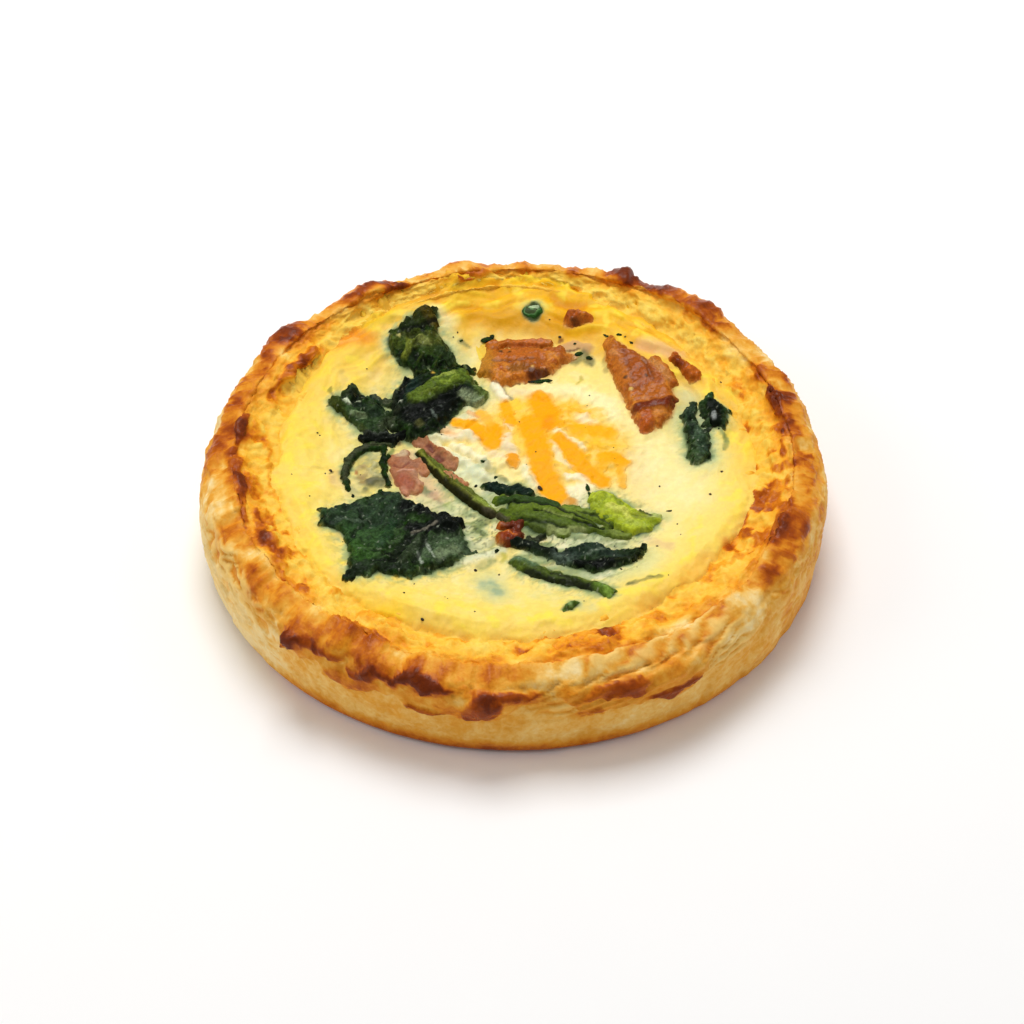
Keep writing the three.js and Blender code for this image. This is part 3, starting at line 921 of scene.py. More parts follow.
CRAGS = (
    Crag(101, 1.24, 6.5, 0.24, 0.42, 0.5),
    Crag(101, 1.44, 5.0, 0.06, 0.2, 0.3),
    Crag(101, 1.06, 3.0, 0.07, -0.25, -0.4),
    Crag(116, 1.10, 4.5, 0.10, 0.42, 0.5),
    Crag(122, 1.00, 5.0, 0.05, 0.42, 0.3),
    Crag(131, 1.82, 2.6, 0.12, 0.25),
    Crag(143, 0.95, 7.0, 0.09, 0.42, 0.6),
    Crag(145, 1.52, 4.5, 0.14, 0.5, 0.9),
    Crag(150, 1.46, 5.0, 0.10, 0.42, 0.5, -12),
    Crag(159, 1.46, 4.0, 0.14, 0.3, 0.4, 12),
    Crag(163, 1.20, 14.0, 0.30, 0.12, 0.2),
    Crag(172, 1.16, 4.5, 0.09, 0.42, 0.5, 10),
    Crag(174, 1.58, 2.2, 0.10, 0.26, 0.3, 14),
    Crag(181, 1.68, 8.0, 0.035, 0.26, 0.2),
    Crag(178, 0.92, 4.0, 0.1, 0.34, 0.4),
    Crag(182, 1.14, 5.5, 0.13, 0.42, 0.5, 10),
    Crag(193, 1.18, 6.0, 0.11, 0.46, 0.5, -40),
    Crag(201, 1.34, 5.0, 0.12, 0.3, 0.3, -20),
    Crag(210, 1.30, 6.0, 0.16, 0.32, 0.3, -8),
    Crag(219, 1.2, 5.0, 0.14, 0.3, 0.3, 10),
    Crag(227.5, 0.78, 1.8, 0.12, 0.5, 0.8, 12),
    Crag(233, 0.88, 5.0, 0.06, 0.45, 0.5, 40),
    Crag(237, 0.98, 10.0, 0.1, 0.2, 0.2),
    Crag(254, 0.9, 12.0, 0.09, 0.22, 0.2),
    Crag(270, 0.82, 9.0, 0.07, 0.18, 0.2),
    Crag(239, 1.20, 6.0, 0.14, 0.2, 0.3),
    Crag(239, 0.68, 4.5, 0.09, 0.2, 0.2),
    Crag(244, 0.84, 3.6, 0.06, 0.42, 0.4, 24),
    Crag(254, 0.89, 7.0, 0.045, 0.55, 0.6, -30),
    Crag(255, 0.62, 4.5, 0.04, 0.36, 0.5),
    Crag(264.5, 0.72, 3.2, 0.14, 0.46, 0.8),
    Crag(270, 0.84, 5.0, 0.05, 0.32, 0.3, -20),
    Crag(286, 1.50, 10.0, 0.36, 0.24, 0.3),
    Crag(278, 1.20, 3.5, 0.12, 0.16),
    Crag(290, 1.80, 4.0, 0.12, 0.12),
    Crag(288, 0.80, 6.5, 0.07, 0.36, 0.4, 16),
    Crag(283.5, 0.58, 1.8, 0.05, 0.25, 0.2),
    Crag(299, 0.61, 5.5, 0.08, 0.5, 0.5, 24),
    Crag(306, 1.55, 7.0, 0.25, 0.1),
    Crag(333, 1.18, 9.0, 0.12, 0.22, 0.3),
    Crag(336, 1.05, 6.0, 0.07, 0.3, 0.3),
    Crag(332, 1.85, 2.8, 0.09, 0.25, 0.1),
    Crag(353, 1.27, 2.0, 0.05, 0.25, 0.2),
    Crag(357.5, 1.36, 1.2, 0.04, 0.25, 0.2),
    Crag(2, 1.30, 1.6, 0.05, 0.36, 0.2),
    Crag(6.5, 1.20, 0.7, 0.04, 0.36, 0.2),
    Crag(1, 1.05, 9.0, 0.035, 0.25, 0.3),
    Crag(16, 1.14, 5.5, 0.13, 0.46, 0.6),
    Crag(25, 1.10, 6.5, 0.10, 0.28, 0.3),
    Crag(43, 1.10, 3.0, 0.09, 0.28, 0.3),
    Crag(54, 0.99, 14.0, 0.06, 0.42, 0.3),
    Crag(67, 0.98, 3.0, 0.07, 0.42, 0.6),
    Crag(77, 1.15, 2.0, 0.2, 0.16),
    Crag(88, 1.15, 4.0, 0.22, 0.2),
)

# How brown the rim is, and how orange its inner slope, at azimuths in degrees.
RIM_TAN = (
    (0, 0.3), (16, 0.4), (30, 0.16), (38, 0.1), (52, 0.22), (62, 0.22), (72, 0.1), (85, 0.08), (100, 0.2),
    (122, 0.18), (132, 0.08), (145, 0.24), (162, 0.28), (175, 0.28), (186, 0.22), (200, 0.24), (212, 0.24),
    (222, 0.14), (238, 0.16), (252, 0.14), (262, 0.13), (272, 0.12), (290, 0.2), (305, 0.14), (318, 0.16),
    (333, 0.3), (345, 0.3),
)
SLOPE_TAN = (
    (0, 0.36), (20, 0.28), (40, 0.08), (60, 0.0), (80, -0.06), (100, -0.06), (130, 0.0), (142, 0.16),
    (160, 0.1), (190, 0.24), (205, 0.28), (220, 0.26), (232, 0.16), (250, 0.14), (264, 0.18), (276, 0.3),
    (290, 0.34), (298, 0.16), (308, 0.2), (326, 0.2), (336, 0.34), (350, 0.36),
)
# Where the glazed upper skin of the pastry ends on the outer wall, as a place along the section.
SKIN_END = (
    (0, 0.92), (170, 0.94), (190, 1.0), (205, 0.96), (216, 0.9), (224, 0.84), (226, 0.62), (228, 0.82),
    (230, 0.66), (233, 0.78), (236, 0.64), (240, 0.56), (243, 0.62), (246, 0.72), (249, 0.72), (252, 0.58),
    (256, 0.55), (259, 0.6), (262, 0.53), (267, 0.55), (270, 0.68), (274, 0.82), (279, 1.0), (286, 1.12),
    (300, 1.18), (310, 1.12), (318, 1.0), (330, 0.92),
)
# How thick the edge of that skin is, in millimetres.
SKIN_THICK = ((0, 0.0), (200, 0.1), (222, 0.4), (227, 0.6), (272, 0.6), (280, 0.45), (312, 0.4), (320, 0.1))
# How much darker than plain dough the outer wall is; the paler stretch on the left, from 150 to 228 degrees,
# is partly the dough's own tone and partly painted light on the lit left side.
WALL_TAN = (
    (0, 0.1), (40, 0.06), (150, -0.12), (186, -0.36), (212, -0.34), (228, -0.06), (250, 0.02), (275, 0.0),
    (300, -0.04), (325, 0.02), (345, 0.1),
)
# A second, lower flap of skin at the front right, between its two edges.
FLAP_END = (
    (276, 0.9), (279, 0.78), (282, 0.6), (288, 0.58), (294, 0.56), (298, 0.48), (303, 0.5), (306, 0.72),
)
# Vertical creases of the wall: azimuth, width in degrees, depth in millimetres.
CREASES = (
    (208, 1.0, 0.3), (219, 1.4, 0.3), (248, 1.2, 0.2), (283, 1.2, 0.25), (307, 1.0, 0.4), (317, 1.4, 0.4),
    (331, 1.5, 0.3),
)


@dataclass
class CrustForm:
    """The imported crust's section at every azimuth, read from its solid.

    walls and slopes are the places of its corners along the section.  The corners are put in order by
    their turn round middle.  Vertices within hub of the axis close the cup's floor and underside, and
    corners less than merged apart are one.
    """

    around: int = 140
    walls: tuple[float, ...] = (-0.05, 0.05, 0.2, 0.36, 0.52, 0.66, 0.76, 0.84, 0.91, 0.965, 1.0)
    slopes: tuple[float, ...] = (1.12, 1.26, 1.42, 1.6, 1.8, 2.0, 2.1, 2.2)
    middle: tuple[float, float] = (51 * MM, 9 * MM)
    hub: float = 10 * MM
    merged: float = 0.02 * MM

    def columns(self) -> Array:
        """Radius and height of the section's corners, for each azimuth in turn.

        Returns:
            An array with one row for each azimuth and one column for each corner.
        """
        points = raw_corners(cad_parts["crust"]) - CENTRE
        radius = from_axis(points)
        points = points[radius > self.hub]
        radius = radius[radius > self.hub]
        column = np.round(azimuth(points) % 360 / (360 / self.around)).astype(int) % self.around
        turn = np.arctan2(points[:, 2] - self.middle[1], radius - self.middle[0])
        turn = np.where(turn < -math.pi / 2, turn + 2 * math.pi, turn)
        sections = []
        for j in range(self.around):
            here = column == j
            order = np.argsort(turn[here])
            section = np.stack([radius[here], points[here, 2]], axis=1)[order]
            apart = np.linalg.norm(np.diff(section, axis=0), axis=1) > self.merged
            sections.append(section[np.concatenate([[True], apart])])
        return np.array(sections)

    def surface(self, theta: Array, place: Array) -> Array:
        """Radius and height on a grid.

        Args:
            theta: Azimuths in degrees, from 0 to 360.
            place: Places along the section.

        Returns:
            An array with one row for each azimuth and one column for each place.
        """
        knots = np.array(self.walls + self.slopes)
        fine = hermite(knots, self.columns().transpose(1, 0, 2), place)
        ends = 3
        wrapped = np.concatenate([fine[:, -ends:], fine, fine[:, :ends]], axis=1)
        azimuths = np.arange(-ends, self.around + ends) * 360 / self.around
        return hermite(azimuths, wrapped.transpose(1, 0, 2), theta)


@dataclass
class Crust:
    """The puff pastry crust with its browned, craggy rim.

    The bank is the finished inner slope, kept as heights over azimuth and radius; bank_from, bank_to
    and bank_step give its radii in millimetres.
    """

    columns: int = 760
    rows: int = 128
    top: float = 2.2
    tallest: float = 23.3 * MM
    noise: Noise = field(default_factory=lambda: Noise(11))
    bank: Array | None = None
    bank_from: float = 40.0
    bank_to: float = 56.0
    bank_step: float = 0.2

    def spun(self) -> bpy.types.Object:
        """A tube that is spun from a straight line, with the place along the section as its height.

        Returns:
            The tube.
        """
        bpy.ops.mesh.primitive_plane_add(size=2)
        piece = named("pastry_crust")
        drop_corners(piece, raw_corners(piece)[:, 0] < 0)
        edit(piece)
        bpy.ops.mesh.subdivide(number_cuts=self.rows - 2)
        bpy.ops.object.mode_set(mode="OBJECT")
        for vertex in piece.data.vertices:
            vertex.co = (1.0, 0.0, self.place_of((vertex.co.y + 1) / 2))
        edit(piece)
        bpy.ops.mesh.spin(steps=self.columns, angle=2 * math.pi, center=(0, 0, 0), axis=(0, 0, 1))
        bpy.ops.mesh.select_all(action="SELECT")
        bpy.ops.mesh.remove_doubles(threshold=1e-5)
        face_outwards()
        return piece

    def place_of(self, share: float) -> float:
        """Place of a row; the rows lie closest round the craggy crest."""
        shares = (0.0, 0.02, 0.2, 0.74, 0.96, 1.0)
        return float(np.interp(share, shares, (-0.05, 0.0, 0.45, 1.35, 2.02, self.top)))

    def skin(self, theta: Array, place: Array, points: Array) -> tuple[Array, Array]:
        """Where the glazed skin and its lower flap lie, 0 or 1 with a sharp edge.

        Args:
            theta: Azimuth of each point, in degrees.
            place: Place of each point along the section.
            points: Places from the quiche's centre, one row each.

        Returns:
            The skin and the flap, one value each for each point.
        """
        torn = 0.03 * self.noise.layers(points, 1.6 * MM, 2) + 0.03 * self.noise.layers(points, 5 * MM, 2)
        end = round_table(theta, SKIN_END) + torn
        upper = smooth(end - 0.012, end + 0.022, place)
        flap_end = np.interp(theta % 360, *np.array(FLAP_END).T) + torn
        beside = smooth(274, 279, theta % 360) * (1 - smooth(304, 308, theta % 360))
        lower = beside * smooth(flap_end - 0.012, flap_end + 0.02, place)
        lower = lower * (1 - smooth(0.9, 1.0, place + 2 * torn))
        return upper, lower

    def layered(self, points: Array, theta: Array, place: Array) -> tuple[Array, Array]:
        """Thin torn layers on the outer wall: how high each point stands, and how strongly they show.

        Args:
            points: Places from the quiche's centre, one row each.
            theta: Azimuth of each point, in degrees.
            place: Place of each point along the section.

        Returns:
            The height, of 0 to about 1, and the strength.
        """
        shown = smooth(268, 282, theta) * (1 - smooth(312, 322, theta)) * smooth(0.5, 0.7, place)
        shown = shown * (1 - smooth(1.12, 1.25, place))
        phase = (place - 0.012 * (theta - 272)) / 0.085 + 0.9 * self.noise.layers(points, 9 * MM, 2)
        phase = phase + 0.2 * self.noise.at(points, 2.4 * MM)
        rise = phase - np.floor(phase)
        steps = shown * rise * (1 - smooth(0.7, 1.0, rise)) / 0.7
        beside = np.maximum(swell(theta, 206, 22), 0.6 * swell(theta, 345, 28))
        beside = beside * smooth(0.12, 0.35, place) * (1 - smooth(0.9, 1.04, place))
        bent = points + 1.2 * MM * self.noise.layers(points + 0.4, 3 * MM, 2)[:, None]
        scales = smooth(0.15, 0.75, self.noise.ridges(bent, (5 * MM, 5 * MM, 1.5 * MM)))
        return steps + beside * scales, np.maximum(shown, beside)

    def relief(self, theta: Array, place: Array) -> tuple[Array, Array]:
        """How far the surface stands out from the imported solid's, in millimetres, and the crumples alone.

        Args:
            theta: Azimuth of each point, in degrees.
            place: Place of each point along the section.

        Returns:
            Both for each point.
        """
        noise = self.noise
        turn = np.radians(theta)
        along = 20 * np.minimum(place, 1) + (12 - 5 * swell(theta, 90, 50)) * np.maximum(place - 1, 0)
        flat = np.stack([58 * np.cos(turn), 58 * np.sin(turn), along], axis=1) * MM
        warped = flat + 1.2 * MM * noise.layers(flat, 3.5 * MM, 2)[:, None]
        rim = smooth(0.6, 0.9, place) * (1 - smooth(1.45, 1.85, place))
        slope = smooth(1.3, 1.6, place) * (1 - smooth(1.9, 2.1, place))
        wall = 1 - smooth(0.5, 0.85, place)
        blisters = noise.ridges(warped, (4.4 * MM, 4.4 * MM, 3.2 * MM)) - 0.4
        crumple = 0.42 * noise.layers(flat, 6 * MM, 3) + 0.5 * blisters
        crumple = crumple + 0.2 * (noise.ridges(warped + 0.01, 1.9 * MM) - 0.4)
        plates = 2.6 * noise.layers(warped + 0.02, 5.5 * MM, 3)
        risers = smooth(0.62, 1.0, plates - np.floor(plates))
        crumple = crumple + 0.42 * (np.floor(plates) + risers - plates + 0.3)
        layers = noise.at(flat, (14 * MM, 14 * MM, 1.5 * MM))
        layers = layers + 0.5 * noise.at(flat, (7 * MM, 7 * MM, 0.9 * MM))
        out = rim * crumple + wall * (0.16 * layers + 0.2 * noise.layers(flat, 7 * MM, 3))
        out = out + slope * (0.5 * noise.layers(flat, 4 * MM, 3) + 0.6 * crumple)
        for at, wide, deep in CREASES:
            lean = at + 6 * (place - 0.4) + 1.2 * noise.at(flat, 6 * MM)
            out = out - deep * wall * (swell(theta, lean, wide) - 0.6 * swell(theta, lean + 1.6 * wide, wide))
        return out, rim * crumple

    def build(self) -> bpy.types.Object:
        """Makes the crust and paints how it is baked.

        Returns:
            The finished mesh.
        """
        piece = self.spun()
        flat = raw_corners(piece)
        theta = np.degrees(np.arctan2(flat[:, 1], flat[:, 0])) % 360
        column = np.round(theta / (360 / self.columns)).astype(int) % self.columns
        levels, row = np.unique(np.round(flat[:, 2], 6), return_inverse=True)
        azimuths = np.arange(self.columns) * 360 / self.columns
        radius, height = CrustForm().surface(azimuths, levels)[column, row].T
        place = levels[row]
        turn = np.radians(azimuths[column])
        points = np.stack([radius * np.cos(turn), radius * np.sin(turn), height], axis=1)
        place_corners(piece, points)
        normals = normals_of(piece)
        out, crumple = self.relief(theta, place)
        upper, lower = self.skin(theta, place, points)
        steps, layered = self.layered(points, theta, place)
        thick = round_table(theta, SKIN_THICK)
        bake, blisters = self.baked(points, theta, place, crumple, upper)
        out = out * (1 - 0.5 * layered) + blisters + thick * (upper - 0.5) + 0.5 * lower
        out = out + 0.5 * (1 - upper) * steps
        calm = smooth(0.0, 0.12, place) * (1 - smooth(1.95, 2.08, place))
        points = points + normals * (calm * out * MM)[:, None]
        points[:, 2] -= 0.5 * np.maximum(0, points[:, 2] - self.tallest)
        place_corners(piece, points)
        self.keep_bank(points, column, row)
        self.cap(piece)
        skinless = (1 - upper) * (1 - lower)
        edge = np.exp(-(((upper - 0.5) / 0.35) ** 2)) * smooth(0.35, 0.6, thick)
        # Thin dark lines low on each torn layer's step, under the layer above: painted shade.
        layer_shade = layered * skinless * (1 - smooth(0.0, 0.35, steps))
        bake = bake + 0.1 * edge + 0.2 * lower + 0.24 * layer_shade + 0.02 * skinless * smooth(0.3, 0.6, place)
        flake = layered * skinless * (0.02 + 0.7 * smooth(0.45, 0.85, steps))
        self.coat(piece, points, theta, place, bake, flake)
        return piece

    def baked(
        self, points: Array, theta: Array, place: Array, crumple: Array, skin: Array
    ) -> tuple[Array, Array]:
        """How dark each point is baked, and how far its blister stands out in millimetres.

        Args:
            points: Places from the quiche's centre, one row each.
            theta: Azimuth of each point, in degrees.
            place: Place of each point along the section.
            crumple: How far its crumples stand out.
            skin: Where the glazed skin lies.

        Returns:
            The darkness, of about 0 to 1, and the height.
        """
        fine = self.noise.layers(points + 0.3, 1.8 * MM, 2)
        rough = self.noise.layers(points + 0.9, 1.2 * MM, 2)
        turned = theta + 1.6 * self.noise.layers(points, 5 * MM, 3) + 0.8 * fine
        level = place + 0.05 * self.noise.layers(points + 0.1, 4 * MM, 3) + 0.015 * fine
        rim = smooth(0.62, 0.9, place) * (1 - smooth(1.15, 1.6, place))
        slope = smooth(1.15, 1.6, place) * (1 - smooth(1.75, 2.0, level))
        wall = 1 - smooth(0.5, 0.85, place)
        patches = smooth(0.05, 0.4, self.noise.layers(points + 0.7, 4.5 * MM, 4))
        # Darker towards the foot, most at the front: painted contact shade, with some baked darkening.
        foot = (1 - smooth(0.0, 0.26, place)) * (0.08 + 0.48 * swell(theta, 262, 50))
        bake = 0.2 + foot - 0.1 * slope + wall * round_table(theta, WALL_TAN)
        bake = bake + 0.3 * rim * self.noise.layers(points + 0.5, 7 * MM, 2)
        tanned = skin * (1 - smooth(1.15, 1.6, place)) * (1 - 0.4 * smooth(0.95, 1.2, place))
        bake = bake + tanned * round_table(theta, RIM_TAN) * (0.7 + 0.9 * patches)
        bake = bake + slope * round_table(theta, SLOPE_TAN) * (0.3 + 1.4 * patches)
        # On the rim the crumples' crests bake darker; on the inner slope the sign turns, so their valleys get
        # a deeper orange as painted shade.
        bake = bake + 0.06 * self.noise.layers(points, 6 * MM, 3) + 0.14 * crumple * (1 - 3.2 * slope)
        high = np.zeros(len(points))
        for crag in CRAGS:
            shape = crag.shape(turned, level)
            crisp = smooth(0.34, 0.6, shape + 0.14 * rough)
            bake = bake + crag.bake * (0.5 * shape + 0.55 * crisp)
            high = high + crag.high * (0.5 * shape + 0.7 * crisp)
        return bake, high

    def coat(
        self, piece: bpy.types.Object, points: Array, theta: Array, place: Array, bake: Array, flake: Array
    ) -> None:
        """Paints how dark the crust is, where egg has run over it and where inner layers show.

        Args:
            piece: The mesh.
            points: Places from the quiche's centre, one row each.
            theta: Azimuth of each point, in degrees.
            place: Place of each point along the section.
            bake: How dark each point is baked.
            flake: How far a pale inner layer shows there.
        """
        start = 1.2 - 0.12 * swell(theta, 240, 22) - 0.1 * swell(theta, 70, 30)
        glaze = smooth(-0.22, 0.2, place - start + 0.12 * self.noise.layers(points, 5 * MM, 2))
        count = len(piece.data.vertices)
        for name, values in (("bake", bake), ("glaze", glaze), ("flake", flake)):
            paint(piece, name, np.resize(values, count))

    def keep_bank(self, points: Array, column: Array, row: Array) -> None:
        """Keeps the finished inner slope as a table of height over azimuth and radius.

        Args:
            points: Places from the quiche's centre, one row each.
            column: Number of each point's azimuth.
            row: Number of its place along the section.
        """
        grid = np.zeros((self.columns, row.max() + 1, 3))
        grid[column, row] = points
        radii = np.arange(self.bank_from, self.bank_to, self.bank_step) * MM
        first = grid.shape[1] // 2
        radius = np.hypot(grid[:, first:, 0], grid[:, first:, 1])
        self.bank = np.zeros((self.columns, len(radii)))
        for j in range(self.columns):
            order = np.argsort(radius[j])
            self.bank[j] = np.interp(radii, radius[j][order], grid[j, first:, 2][order])

    def bank_at(self, theta: Array, radius: Array) -> Array:
        """Height of the finished inner slope.

        Args:
            theta: Azimuth of each point, in degrees.
            radius: Distance of each point from the axis.

        Returns:
            One height for each point.
        """
        across = theta % 360 / 360 * self.columns
        i = across.astype(int) % self.columns
        along = (radius - self.bank_from * MM) / (self.bank_step * MM)
        along = np.clip(along, 0, self.bank.shape[1] - 1.001)
        j = along.astype(int)
        low = mix(self.bank[i, j], self.bank[i, j + 1], along - j)
        following = (i + 1) % self.columns
        high = mix(self.bank[following, j], self.bank[following, j + 1], along - j)
        return mix(low, high, across - np.floor(across))

    def cap(self, piece: bpy.types.Object) -> None:
        """Closes the underside and the cup's floor.

        Args:
            piece: The mesh.
        """
        edit(piece, "DESELECT")
        bpy.ops.mesh.select_mode(type="EDGE")
        bpy.ops.mesh.select_non_manifold(extend=False)
        bpy.ops.mesh.fill_holes(sides=0)
        face_outwards()


# ---------------------------------------------------------------- what lies where
GREENS = {
    "leaf_back": 1.0, "leaf_left": 1.0, "leaf_front": 1.0, "leaf_scrap": 0.8, "leaf_lime": 1.0,
    "leaf_strip": 0.9, "leaf_right_inner": 0.8, "leaf_right_outer": 0.9, "leaf_crumb": 0.6,
    "leaf_bundle": 1.3, "strand_arch": 0.8, "strand_short": 0.8, "stem_long": 0.9, "stem_front": 1.0,
    "stem_bundle": 1.1, "onion_slice": 0.7,
}
MEATS = {
    "bacon_back": 1.5, "bacon_bit_back": 1.1, "bacon_right": 1.5, "bacon_bit_right": 1.1,
    "bacon_bit_front": 0.9, "ham_chunk": 1.0, "ham_sliver": 0.8,
}


class Footprints:
    """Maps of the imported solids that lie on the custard."""

    def __init__(self) -> None:
        """Reads the outline of every solid but the crust and the custard from above."""
        lying = [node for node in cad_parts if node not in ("crust", "custard")]
        self.own = {node: Raster().mark(node) for node in lying}

    def joint(self, weights: dict[str, float], reach: float) -> Raster:
        """One blurred map of several solids, each with its weight."""
        values = np.max([self.own[node].values * weight for node, weight in weights.items()], axis=0)
        return Raster(values=values).blurred(reach)


# ---------------------------------------------------------------- custard
# Melted cheddar right and left of the middle.
MELT_RIGHT = (
    Mark("2.4,17 1.6,12", 1.6, "fad258", 0.55, soft=0.8),
    Mark("1.4,8 2.6,3.4", 1.15, "fcd050", 0.75),
    Mark("11.6,18.8 14.6,16.6 17.6,15.6", 1.3, "fac440", 0.7, grain=0.6),
    Mark("18.6,12.4 16.6,14.4", 1.2, "fcd468", 0.6, grain=0.5, soft=0.8),
    Mark("14,8 17,7 20.4,6.4", 1.7, "fcc430", 0.75, grain=0.4, soft=0.8),
    Mark("12.2,10 15.4,10 18.8,9.8", 1.8, "fcb414", 1.15, grain=0.2),
    Mark("5.2,19.6 6.4,16 7.2,12.4", 2.4, "fca804", 1.25, 0.05),
    Mark("3,12.4 4.4,7 5,3 5.5,-1 6.8,-4.4 8.2,-8", 2.2, "fcaa06", 1.3, 0.08, soft=0.45),
    Mark("7.2,13.4 6.6,10.6", 1.1, "f49400", soft=0.8),
    Mark("9,6.8 11.6,2.6 14,-1.2 17,-4", 1.6, "fcaa08", 1.25, 0.06),
    Mark("17.8,2.6 19.6,2.8 21,1.8", 1.4, "fcae0a", 1.25, 0.06),
    Mark("17.8,2 17,-0.2", 1.15, "fcb412"),
    Mark("20.8,1 20.8,-4.6", 0.8, "fcb010", grain=0.2),
    Mark("11,-9.7", 1.15, "dc9428", 0.85, 0.2),
)
MELT_LEFT = (
    Mark("-11.2,13.2 -7.6,13 -6.6,11.6", 1.1, "fcb00c", 1.25, 0.06),
    Mark("-7,11 -5.2,8.6 -3.9,6.8", 1.6, "fcaa08", 1.25, 0.06),
    Mark("-4.2,12.2 -2.8,9", 1.2, "fca804", 1.2, 0.05),
    Mark("-6.6,16.4 -4.6,13.4", 1.0, "f8b430", 0.85),
    Mark("-1.6,18.6 -0.8,14.6 -0.4,13", 1.2, "fcae10", 1.15, 0.1),
    Mark("0.2,19.4 1,17.6", 1.0, "f8cc38", 0.85),
    Mark("-1.6,11 -1,9.8", 0.7, "fabc38"),
    Mark("-0.1,2.6 0.2,0.8", 1.15, "ec9c1c", 1.15, 0.15),
    Mark("-13,10.6 -11.4,10", 1.0, "f8bc80", 0.75, soft=0.8),
    Mark("-8.6,16.2 -7.4,15.4", 0.7, "eca868", 0.7),
)
